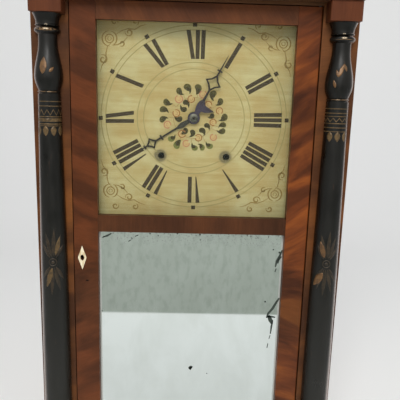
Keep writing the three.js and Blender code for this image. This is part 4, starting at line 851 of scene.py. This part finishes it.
def gild_top(side, word, layers):
    """Leaves on the vase, the gilding left on the turned rings, which also stands in for their highlights,
    and painted highlights on their crests.
    """
    for x, z, length, width, angle in VASE_LEAVES[word]:
        layers["vase"].polygon(leaf(x, z, length, width, angle))
    for start, stop, top, height in RING_BANDS[word]:
        middle, half = (start + stop) / 2, (stop - start) / 2
        layers["rings"].polygon(lens(middle, top - height / 2, half, height / 2))
    for x, width, top, height in PAINTED_RING_HIGHLIGHTS:
        layers["painted_highlights"].polygon(lens(-side * x, top - height / 2, width / 2, height / 2))


def gild_bands(word, bands):
    """Level bands round the shaft, a zigzag between them and leaves hanging below."""
    for top, height in BANDS[word]:
        low = top - height
        bands.polygon([(-BAND_REACH, top), (-BAND_REACH, low), (BAND_REACH, low), (BAND_REACH, top)])
    high, low = ZIGZAG[word]
    count = round(2 * BAND_REACH / ZIGZAG_STEP)
    zigzag = [(-BAND_REACH + ZIGZAG_STEP * k, low if k % 2 else high) for k in range(count + 1)]
    bands.ribbon(zigzag, ZIGZAG_WIDTH)
    for k in range(HANGING_COUNT):
        place = HANGING_FIRST[word] + HANGING_STEP * k
        bands.polygon(leaf(place, HANGING_TOP[word], *HANGING_LEAF, 180))


def gild_spray(word, spray, petals):
    x, z = BOSS[word]
    spray.ribbon(circle(x, z, BOSS_RADIUS, 24), BOSS_LINE, closed=True)
    spray.polygon(circle(x, z, BOSS_RADIUS * BOSS_HEART_SHARE, 14))
    for way in (0, 180):
        for tilt, length, width in SPRAY_LEAVES:
            stalk_x, stalk_z = turned(tilt + way, [(0, SPRAY_GAP)])[0]
            spray.polygon(leaf(x + stalk_x, z + stalk_z, length, width, tilt + way))
    for petal in PETALS[word]:
        petals.polygon(leaf(*petal))


def gild_column(side, word, golds, outline):
    layers = {label: Painting() for label in GILT_LAYERS}
    gild_top(side, word, layers)
    gild_bands(word, layers["bands"])
    gild_spray(word, layers["spray"], layers["petals"])
    for label, (left, right, lift) in GILT_LAYERS.items():
        gold = golds[right if side > 0 else left]
        place = on_column(side, outline, lift)
        layers[label].lay(f"gilt_{label}_{word}", place, gold, "case", "ebonised", GILT_CELL)


# Weight cords


def hang_strand(word, material):
    """The upright strand of a weight cord: one straight length over the box of the hanging cord, from the
    pulley at its top to the weight at its foot."""
    name = f"{word}_cord_hang"
    low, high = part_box(name)
    middle_x, middle_y = (low.x + high.x) / 2, (low.y + high.y) / 2
    section = list(reversed(circle(middle_x, middle_y, (high.x - low.x) / 2, STRAND_SIDES)))
    points = [(x, y, height) for height in (high.z, low.z) for x, y in section]
    top, foot = range(STRAND_SIDES), range(STRAND_SIDES, 2 * STRAND_SIDES)
    faces = [tuple(top), tuple(reversed(foot))]
    for k in range(STRAND_SIDES):
        after = (k + 1) % STRAND_SIDES
        faces.append((top[k], foot[k], foot[after], top[after]))
    piece = put(f"{word}_strand", mesh_of(f"{word}_strand", points, faces))
    piece.data.materials.append(material)
    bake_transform(piece)
    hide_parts(name)


# Painted dial

# Painted marks: name of the paint, colour, worn colour, wear, and lift off the face
PAINTS = {
    "dial_numerals": ("numeral_ink", (58, 48, 32), (92, 80, 52), 0.4, 0.06),
    "dial_hairlines": ("hairline", (150, 136, 90), (178, 164, 112), 0.8, 0.04),
    "dial_rings": ("ring_line", (142, 132, 82), (170, 160, 106), 0.6, 0.02),
    "dial_scrolls": ("scroll_brown", (132, 108, 54), (168, 148, 90), 0.55, 0.03),
    "wreath_stems": ("stem_brown", (134, 106, 62), (168, 146, 96), 0.6, 0.02),
    "wreath_petals": ("petal_cream", (188, 162, 106), (178, 160, 106), 0.5, 0.04),
    "wreath_leaves": ("leaf_green", (74, 68, 32), (98, 92, 46), 0.5, 0.06),
    "wreath_lower_leaves": ("leaf_lighter_green", (100, 102, 50), (124, 126, 68), 0.5, 0.06),
    "wreath_dark_leaves": ("leaf_shade", (58, 52, 28), (84, 76, 38), 0.5, 0.09),
    "wreath_rims": ("petal_rim", (138, 92, 46), (166, 126, 74), 0.5, 0.12),
    "wreath_pink_rims": ("petal_pink", (166, 112, 80), (184, 146, 104), 0.4, 0.12),
    "mirror_losses": ("bare_glass_back", (58, 66, 60), (84, 92, 84), 0.4, 0.05),
    # The nail hole is a dark painted spot: painted shade inside the hole, with the dirt in it
    "nail_hole": ("nail_hole", (14, 8, 6), (24, 14, 9), 0.4, 0.04),
}


def lay_paint(label, painting, centre, stretch=(1, 1), turn=0, face_y=DIAL_FACE_Y, body="case",
              slot="dial_paint"):
    """Lays a drawing made about a centre on an upright face, in the paint that the table gives it."""
    name, base, wear, amount, lift = PAINTS[label]

    def place(x, z):
        x, z = turned(turn, [(x, z)])[0]
        return Vector((centre[0] + x * stretch[0], face_y - lift, centre[1] + z * stretch[1])) * MM

    painting.lay(label, place, paint(name, base, wear, amount), body, slot)


NUMERALS = ("XII", "I", "II", "III", "IIII", "V", "VI", "VII", "VIII", "IX", "X", "XI")
GLYPH_WIDTH = {"I": 7.9, "V": 11.0, "X": 12.0}
# How far each numeral was set to one side of its hour
NUMERAL_SHIFTS = (2, 1.2, 0.7, 0, 0.6, 0.5, 0, 2.5, 0, 1.8, 1, -0.5)
# Outer and inner offsets of the broad and the fine stroke, from the letter's middle
BROAD_STROKES = {"I": (0, 0), "V": (-2.4, 0), "X": (-3, 3)}
FINE_STROKES = {"V": (4.6, 0.8), "X": (4, -4)}
# What a broad stroke keeps of its width at its inner end
INNER_SHARE = {"I": 0.96, "V": 0.22, "X": 0.96}
PINCH = 0.9


def draw_numeral(thick, thin, hour):
    """Strokes of one Roman numeral with its foot towards the centre."""
    letters = NUMERALS[hour]
    x = NUMERAL_SHIFTS[hour] - sum(GLYPH_WIDTH[letter] for letter in letters) / 2
    half = STROKE / 2
    for letter in letters:
        middle = x + GLYPH_WIDTH[letter] / 2
        outer, inner = BROAD_STROKES[letter]
        foot = middle * PINCH + inner
        foot_half = half * INNER_SHARE[letter]
        head = middle + outer
        stroke = [(foot - foot_half, NUMERAL_IN), (head - half, NUMERAL_OUT), (head + half, NUMERAL_OUT),
                  (foot + foot_half, NUMERAL_IN)]
        thick.polygon(turned(HOUR_TURN * hour, stroke))
        if letter in FINE_STROKES:
            outer, inner = FINE_STROKES[letter]
            line = [(middle * PINCH + inner, NUMERAL_IN), (middle + outer, NUMERAL_OUT)]
            thin.ribbon(turned(HOUR_TURN * hour, line), HAIRLINE)
        x += GLYPH_WIDTH[letter]


# A painted leaf from its tail, on one side of its middle line and round its head, as shares of its length
COMMA = ((-0.16, 0), (0.08, 0.12), (0.26, 0.32), (0.35, 0.58), (0.3, 0.8), (0.14, 0.95), (-0.06, 1),
         (-0.24, 0.93), (-0.34, 0.77), (-0.31, 0.6), (-0.18, 0.48), (-0.05, 0.36), (-0.06, 0.17))
# How far a leaf runs past the middle of its head
COMMA_HEAD = 6.4


def comma_leaf(x, z, tail_x, tail_z, side, size):
    """A leaf with a round head and a tail that curls to a point."""
    dx, dz = x - tail_x, z - tail_z
    length = (math.hypot(dx, dz) + COMMA_HEAD) * size
    outline = [(a * length * side, b * length) for a, b in COMMA]
    return [(tail_x + px, tail_z + pz) for px, pz in turned(math.degrees(math.atan2(dx, dz)), outline)]


def paint_numerals():
    thick, thin, rings = Painting(), Painting(), Painting()
    half = DOT_SIZE / 2
    low, high = DOT_RADIUS - half, DOT_RADIUS + half
    for hour in range(12):
        draw_numeral(thick, thin, hour)
        thick.polygon(turned(HOUR_TURN * hour, [(-half, low), (-half, high), (half, high), (half, low)]))
    for radius in RING_RADII:
        rings.ribbon(circle(0, 0, radius, 144), RING_WIDTH, closed=True)
    for start, stop in RING_ARCS:
        rings.ribbon(circle(0, 0, INNER_RING_RADIUS, 72, start, stop - start), RING_WIDTH)
    for label, painting in (("numerals", thick), ("hairlines", thin), ("rings", rings)):
        lay_paint(f"dial_{label}", painting, DIAL_CENTRE, DIAL_STRETCH, DIAL_TURN)


# Wreath, in millimetres from the hub: flowers, the pink ones by number, and leaves by head and tail
FLOWER_RADIUS = 4.8
FLOWER_SHARES, PETAL_SHARE, HEART_SHARE = (0.92, 1.08), 0.8, 0.4
SHADE_SHARE, INNER_SIZE_SHARE = 0.68, 0.9
# Outer leaves whose heads lie below this height are painted a lighter green; the upper ones are darker
LIGHTER_GREEN_BELOW = -28
STEM_RADIUS, STEM_WIDTH, RIM_WIDTH = 29, 0.6, 1.5
# Degrees of the round strokes: sweep of a flower's rim and of its heart, start and sweep of the stem
RIM_SWEEP, HEART_SWEEP, STEM_ARC = 320, 230, (-60, 330)
WREATH_LAYERS = ("stems", "petals", "leaves", "lower_leaves", "dark_leaves", "rims", "pink_rims")
FLOWERS = ((-4.3, 26.5), (12.4, 33.3), (20.4, 19.1), (36.5, 11), (27.8, -5.5), (29, -26.8), (7.5, -27.9),
           (-10, -36.6), (-25.1, 6.1), (-37.4, -10.5), (-21.7, 26), (-16.3, -23))
PINK_FLOWERS = (1, 5, 7, 9, 10)
OUTER_LEAVES = ((-20.3, 36.1, -15.3, 31.5), (-9.5, 41.7, -5, 34.4), (5.1, 41.1, 4.8, 32.6),
                (26.5, 33.2, 25.7, 24.6), (36.1, 22.8, 31.4, 17.8), (42.9, 1.4, 36.5, -3.6),
                (40.6, -9.5, 35.1, -11.8), (39.8, -17.7, 33.1, -17.9), (22.8, -38.5, 17.6, -34.2),
                (11.7, -40.5, 7.7, -36.1), (1.2, -41.3, -2.8, -36.4), (-23.2, -38.6, -19.5, -30.8),
                (-30.5, -29.4, -25.1, -24.9), (-43, -2.5, -36.5, -0.2), (-42.6, 10.4, -35.5, 7.4),
                (-37.9, 20.7, -30.8, 18.3))
INNER_LEAVES = ((-11.2, 20.9, -6.2, 15.2), (-14.9, 12.3, -20.4, 17.5), (-21.1, -1.9, -28.8, 1.1),
                (-1.5, -21.5, -5.2, -28.2), (12.7, -17.9, 16.8, -24.9), (19.7, -11.2, 23.7, -16.5),
                (24.7, 3.1, 19.3, 0.8), (-12, -19.1, -16.3, -24.7))


def paint_wreath():
    layers = {label: Painting() for label in WREATH_LAYERS}
    for k, leaf_ends in enumerate(OUTER_LEAVES):
        lighter_green = leaf_ends[1] < LIGHTER_GREEN_BELOW
        side = 1 if k % 3 else -1
        layers["lower_leaves" if lighter_green else "leaves"].polygon(comma_leaf(*leaf_ends, side, 1))
        layers["dark_leaves"].polygon(comma_leaf(*leaf_ends, side, SHADE_SHARE))
    for leaf_ends in INNER_LEAVES:
        layers["dark_leaves"].polygon(comma_leaf(*leaf_ends, 1, INNER_SIZE_SHARE))
    for k, (x, z) in enumerate(FLOWERS):
        size = FLOWER_RADIUS * random.uniform(*FLOWER_SHARES)
        turn = random.uniform(0, 360)
        layers["petals"].polygon(circle(x, z, size * PETAL_SHARE, 20))
        rims = layers["pink_rims" if k in PINK_FLOWERS else "rims"]
        rims.ribbon(circle(x, z, size, 20, turn, RIM_SWEEP), RIM_WIDTH)
        rims.ribbon(circle(x, z, size * HEART_SHARE, 12, turn, HEART_SWEEP), STEM_WIDTH)
    stems = layers["stems"]
    stems.ribbon(circle(0, 0, STEM_RADIUS, 60, *STEM_ARC), STEM_WIDTH)
    for _, _, tail_x, tail_z in OUTER_LEAVES:
        inwards = STEM_RADIUS / math.hypot(tail_x, tail_z)
        stems.ribbon([(tail_x, tail_z), (tail_x * inwards, tail_z * inwards)], STEM_WIDTH)
    for label, painting in layers.items():
        lay_paint(f"wreath_{label}", painting, HUB)


# Scroll for the upper right corner, from the middle of the board: a rosette, curls as (x, z, radius,
# start, turns), and their stems
SCROLL_CENTRE = (1.67, 588.7)
ROSETTE = (121, 107)
ROSETTE_RADIUS, ROSETTE_LINE = 5.6, 1.6
EYE_SHARE, EYE_LINE, EYE_ARC = 0.45, 1.0, (20, 300)
RING_SHARE = 1.8
PETAL_ARCS = ((10, 170), (205, 140))
PETAL_LINE, CURL_LINE, CURL_STEM_LINE = 2.1, 2.3, 1.6
SCROLL_END_SHARE = 0.35
CURLS = ((94, 116, 5.6, 80, 1.2), (130, 79, 6.4, 20, -1.2), (114, 129.5, 5.0, 250, 1.1),
         (85, 130, 4.6, 200, 1.1), (104, 101, 4.2, 140, 1.0))
CURL_STEMS = (((70, 127), (78, 125), (86, 120), (95, 121), (104, 118), (113, 112)),
              ((134, 62), (132, 70), (126, 79), (126, 88), (124, 96), (119, 101)),
              ((96, 110), (102, 103), (110, 99), (117, 98)))


def brushed(count, width, least_share):
    """Widths of a brush stroke in so many steps: thin, full in the middle, thin again."""
    return [width * (least_share + (1 - least_share) * math.sin(math.pi * share)) for share in steps(count)]


def draw_scroll(painting):
    x, z = ROSETTE
    painting.ribbon(circle(x, z, ROSETTE_RADIUS, 32), ROSETTE_LINE, closed=True)
    painting.ribbon(circle(x, z, ROSETTE_RADIUS * EYE_SHARE, 20, *EYE_ARC), EYE_LINE)
    for start, sweep in PETAL_ARCS:
        arc = circle(x, z, ROSETTE_RADIUS * RING_SHARE, 24, start, sweep)
        painting.ribbon(arc, brushed(24, PETAL_LINE, SCROLL_END_SHARE))
    for curl in CURLS:
        painting.ribbon(spiral(*curl), brushed(SPIRAL_STEPS, CURL_LINE, SCROLL_END_SHARE))
    for line in CURL_STEMS:
        painting.ribbon(line, brushed(len(line) - 1, CURL_STEM_LINE, SCROLL_END_SHARE))


def paint_scrolls():
    scrolls = Painting()
    for mirror_x, mirror_z in ((-1, -1), (-1, 1), (1, -1), (1, 1)):
        corner = Painting()
        draw_scroll(corner)
        start = len(scrolls.points)
        scrolls.points += [(mirror_x * x, mirror_z * z) for x, z in corner.points]
        scrolls.faces += [[start + index for index in face] for face in corner.faces]
    lay_paint("dial_scrolls", scrolls, SCROLL_CENTRE)


# Losses in the looking-glass's silver: lines as (points, width)
LOSS_LINES = (
    (((136, 401), (132.6, 391.7), (128.6, 383.9), (127.1, 374.6)), 2.4),
    (((135.4, 391), (131.4, 386), (130.4, 380)), 2),
    (((128.4, 372), (126.8, 366.7)), 1.8),
    (((135.6, 325.2), (132, 319), (126.8, 308.6), (120.4, 300.2), (118.6, 295)), 2.6),
    (((117.4, 293.6), (122, 295.6), (131.6, 294.2)), 2.4),
    (((121, 297), (124.2, 290), (127.1, 283.6)), 4.4),
    (((128, 289.6), (126.5, 279.4), (125.5, 266.7)), 1.9),
    (((125.2, 265), (123.8, 258.3)), 1.4),
    (((122.6, 251), (121.4, 243.4)), 1.5),
    (((-128.6, 415.4), (-122.5, 417.5), (-116.2, 421.2)), 1.9),
    (((-129.4, 414.4), (-126.6, 416.6)), 1.6),
    (((-91.5, 409.4), (-87.8, 412)), 1.7),
    (((-88, 415.4), (-85.4, 413.6)), 1.5),
    (((-82, 417.3), (-77, 419.6)), 1.5),
    (((3, 205.4), (6.4, 211)), 4.6),
)
LOSS_SWELL, LOSS_END_SHARE = 1.5, 0.55
# Round spots as (x, z, radius)
LOSS_SPOTS = ((122.5, 401.3, 1.1), (114.7, 319.2, 1.5), (132, 397, 1.6), (3.6, 208.4, 2.5), (-60, 422, 1.1),
              (-48, 419, 0.9), (-20, 423, 1.2), (13.2, 422, 1.3), (14, 414, 0.9), (-131, 300, 0.9),
              (30, 199, 0.8))


def mark_mirror():
    marks = Painting()
    for line, width in LOSS_LINES:
        marks.ribbon(line, brushed(len(line) - 1, LOSS_SWELL * width, LOSS_END_SHARE))
    for x, z, radius in LOSS_SPOTS:
        marks.polygon(circle(x, z, radius, 12))
    lay_paint("mirror_losses", marks, (0, 0), face_y=MIRROR_FACE_Y, body="door", slot="silvered_glass")


def mark_door():
    """A small old nail hole below the escutcheon, painted as a dark spot: the shade inside the hole and the
    dirt in it.
    """
    mark = Painting()
    mark.polygon([(NAIL_HOLE_REACH * a, NAIL_HOLE_RISE * b) for a, b in circle(0, 0, 1, 16)])
    lay_paint("nail_hole", mark, NAIL_HOLE, face_y=DOOR_FACE_Y, body="door", slot="crotch_mahogany")


# Materials of the CAD nodes

# Woods: dark, middle and light tone, run of the grain, further looks, and the nodes
RED_TONES = ((54, 29, 16), (84, 48, 26), (108, 62, 32))
CHERRY_TONES = ((112, 66, 36), (150, 96, 56), (178, 120, 74))
CHERRY_LOOKS = {"figure": 0.25, "gloss": 0.6, "shift": 5.2}
WOODS = {
    "case_mahogany": (RED_TONES, "Z", {"figure": 0.35}, ("side_left", "side_right")),
    "block_mahogany": (((66, 35, 20), (81, 43, 24), (92, 50, 28)), "Z", {"figure": 0.3, "shift": 0.3},
                       ("block_top_left", "block_top_right", "block_bottom_left", "block_bottom_right")),
    "dark_mahogany": (((64, 43, 27), (82, 55, 34), (102, 67, 42)), "X", {"figure": 0.3, "shift": 0.6},
                      ("cornice_board",)),
    "base_mahogany": (RED_TONES, "X", {"figure": 0.3, "shift": 0.9}, ("base_board",)),
    "top_crotch": (((74, 42, 24), (88, 50, 27), (100, 58, 30)), "Z",
                   {"figure": 0.6, "tilt": 30, "shift": 2.2}, ("door_rail_top",)),
    "middle_crotch": (((58, 34, 20), (70, 41, 24), (84, 49, 27)), "Z",
                      {"figure": 0.4, "shift": 2.9}, ("door_rail_middle",)),
    "bottom_crotch": (((54, 32, 22), (86, 52, 34), (114, 68, 40)), "Z",
                      {"figure": 0.5, "shift": 3.4}, ("door_rail_bottom",)),
    "pine": (((150, 112, 70), (178, 140, 94), (200, 166, 120)), "Z",
             {"figure": 0.2, "gloss": 0.7, "shift": 4.0},
             ("backboard", "mirror_back", "rail_left", "rail_right")),
    "oak": (((134, 98, 58), (164, 126, 80), (186, 150, 104)), "X",
            {"figure": 0.25, "gloss": 0.65, "shift": 4.6}, ("plate_front", "plate_back")),
    "cherry": (CHERRY_TONES, "X", CHERRY_LOOKS,
               ("time_great_wheel", "third_wheel", "escape_wheel", "minute_wheel", "hour_wheel",
                "strike_great_wheel", "strike_pin_wheel", "strike_locking_wheel", "strike_fly", "count_wheel",
                "time_pulley", "strike_pulley")),
}
# Cherry pieces on an iron arbor, and where its axis passes
ARBORED = {
    "time_drum": (HUB[0] + HOLE_SPREAD, HUB[1] - HOLE_DROP),
    "strike_drum": (HUB[0] - HOLE_SPREAD, HUB[1] - HOLE_DROP),
    "centre_wheel": HUB,
}
# Lighter and darker stretches of the upright veneers: (height, (red, green and blue shares))
STRETCHES = {
    "stile_left": (
        (25, (0.9, 0.9, 0.9)), (370, (1, 0.95, 0.9)), (400, (1.4, 1.3, 1.05)), (470, (1.5, 1.4, 1.1)),
        (530, (1.05, 1, 0.95)), (745, (1, 1, 1))),
    "stile_right": (
        (25, (0.95, 0.95, 1)), (330, (1, 1, 1)), (470, (1.3, 1.2, 1.05)), (745, (1, 1, 1))),
    "door_stile_left": (
        (50, (1.08, 1.2, 1.35)), (250, (1.02, 1.12, 1.22)), (330, (0.68, 0.86, 1.05)), (410, (0.95, 1, 1)),
        (745, (0.95, 0.97, 0.95))),
    "door_stile_right": (
        (50, (0.95, 1, 1.25)), (230, (0.92, 0.98, 1.2)), (290, (0.64, 0.76, 0.98)), (330, (0.66, 0.76, 0.95)),
        (385, (1, 1, 1)), (480, (1.2, 1.15, 1.02)), (560, (0.84, 0.84, 0.88)), (600, (0.48, 0.5, 0.58)),
        (655, (0.92, 0.9, 0.88)), (745, (0.93, 0.9, 0.88))),
}
# Crotch veneers: tones, middle line, slopes of the figure below and above a height, that height, shift
# and scale of the bands
STILE_TONES = ((66, 40, 24), (82, 50, 28), (98, 60, 32))
LEFT_TONES = ((72, 38, 20), (86, 45, 23), (98, 51, 26))
RIGHT_TONES = ((73, 38, 20), (100, 52, 25), (124, 67, 29))
VENEERS = {
    "stile_left": ("left_strip", STILE_TONES, -176, (0.1, 0.1), 380, 0.7, 16),
    "stile_right": ("right_strip", STILE_TONES, 176, (0.1, 0.1), 380, 1.9, 16),
    "door_stile_left": ("left_crotch", LEFT_TONES, -151, (0.45, -0.4), 400, 3.1, 30),
    "door_stile_right": ("right_crotch", RIGHT_TONES, 152, (-0.3, 0.62), 370, 4.3, 30),
}
# Metals: colour, dark colour, roughness, metallic share, and the nodes
METALS = {
    "old_brass": ((176, 140, 74), (110, 84, 44), 0.35, 1.0, ("lock_case", "pendulum_bob")),
    "steel_wire": ((120, 120, 122), (66, 62, 58), 0.4, 1.0,
                   ("lock_bolt", "hinge_pin_upper", "hinge_pin_lower", "verge", "pendulum_rod")),
    "washer_metal": ((120, 120, 106), (62, 62, 56), 0.4, 0.8, ("hand_washer",)),
    "cast_iron": ((70, 66, 62), (44, 40, 36), 0.65, 0.6, ("hammer", "bell", "time_weight", "strike_weight")),
}
# Hands: colour, dark colour, and colour near the hub
HANDS = {
    "hour_hand": ((48, 42, 30), (34, 29, 20), (52, 52, 42)),
    "minute_hand": ((46, 36, 26), (33, 26, 19), (62, 54, 72)),
}


def dress(material, *names):
    for name in names:
        piece = nodes[name]
        piece.data.materials.clear()
        piece.data.materials.append(material)


def dress_nodes():
    for name, (tones, along, looks, names) in WOODS.items():
        dress(wood(name, tones, along, **looks).material, *names)
    for node, (x, z) in ARBORED.items():
        dress(arbored_cherry(f"{node}_cherry", x, z), node)
    for node, looks in VENEERS.items():
        dress(crotch(*looks, STRETCHES[node]), node)
    for name, (base, dark, roughness, metallic, names) in METALS.items():
        dress(worn_metal(name, base, dark, roughness, metallic), *names)
    for node, tones in HANDS.items():
        dress(hand_steel(f"{node}_steel", *tones), node)
    for made, node in ((dial_paint, "dial_board"), (aged_mirror, "mirror"), (pane_glass, "dial_glass"),
                       (bone, "escutcheon")):
        dress(made(), node)


# Scene

bpy.context.scene.view_settings.view_transform = "Standard"
set_camera()
for name, looks in LAMPS.items():
    area_light(name, *looks)
set_world()
set_stage()
dress_nodes()
cord_twine = twine()
dress(cord_twine, "time_cord_run", "time_cord_hang", "strike_cord_run", "strike_cord_hang")
for word in ("time", "strike"):
    hang_strand(word, cord_twine)
black = ebony_paint()
golds = {name: gilt(f"gilt_{name}", *looks) for name, looks in GOLDS.items()}
column_line = column_outline()
for side, word in ((-1, "left"), (1, "right")):
    build_column(side, word, black, column_line)
    gild_column(side, word, golds, column_line)
paint_numerals()
paint_scrolls()
paint_wreath()
mark_mirror()
mark_door()
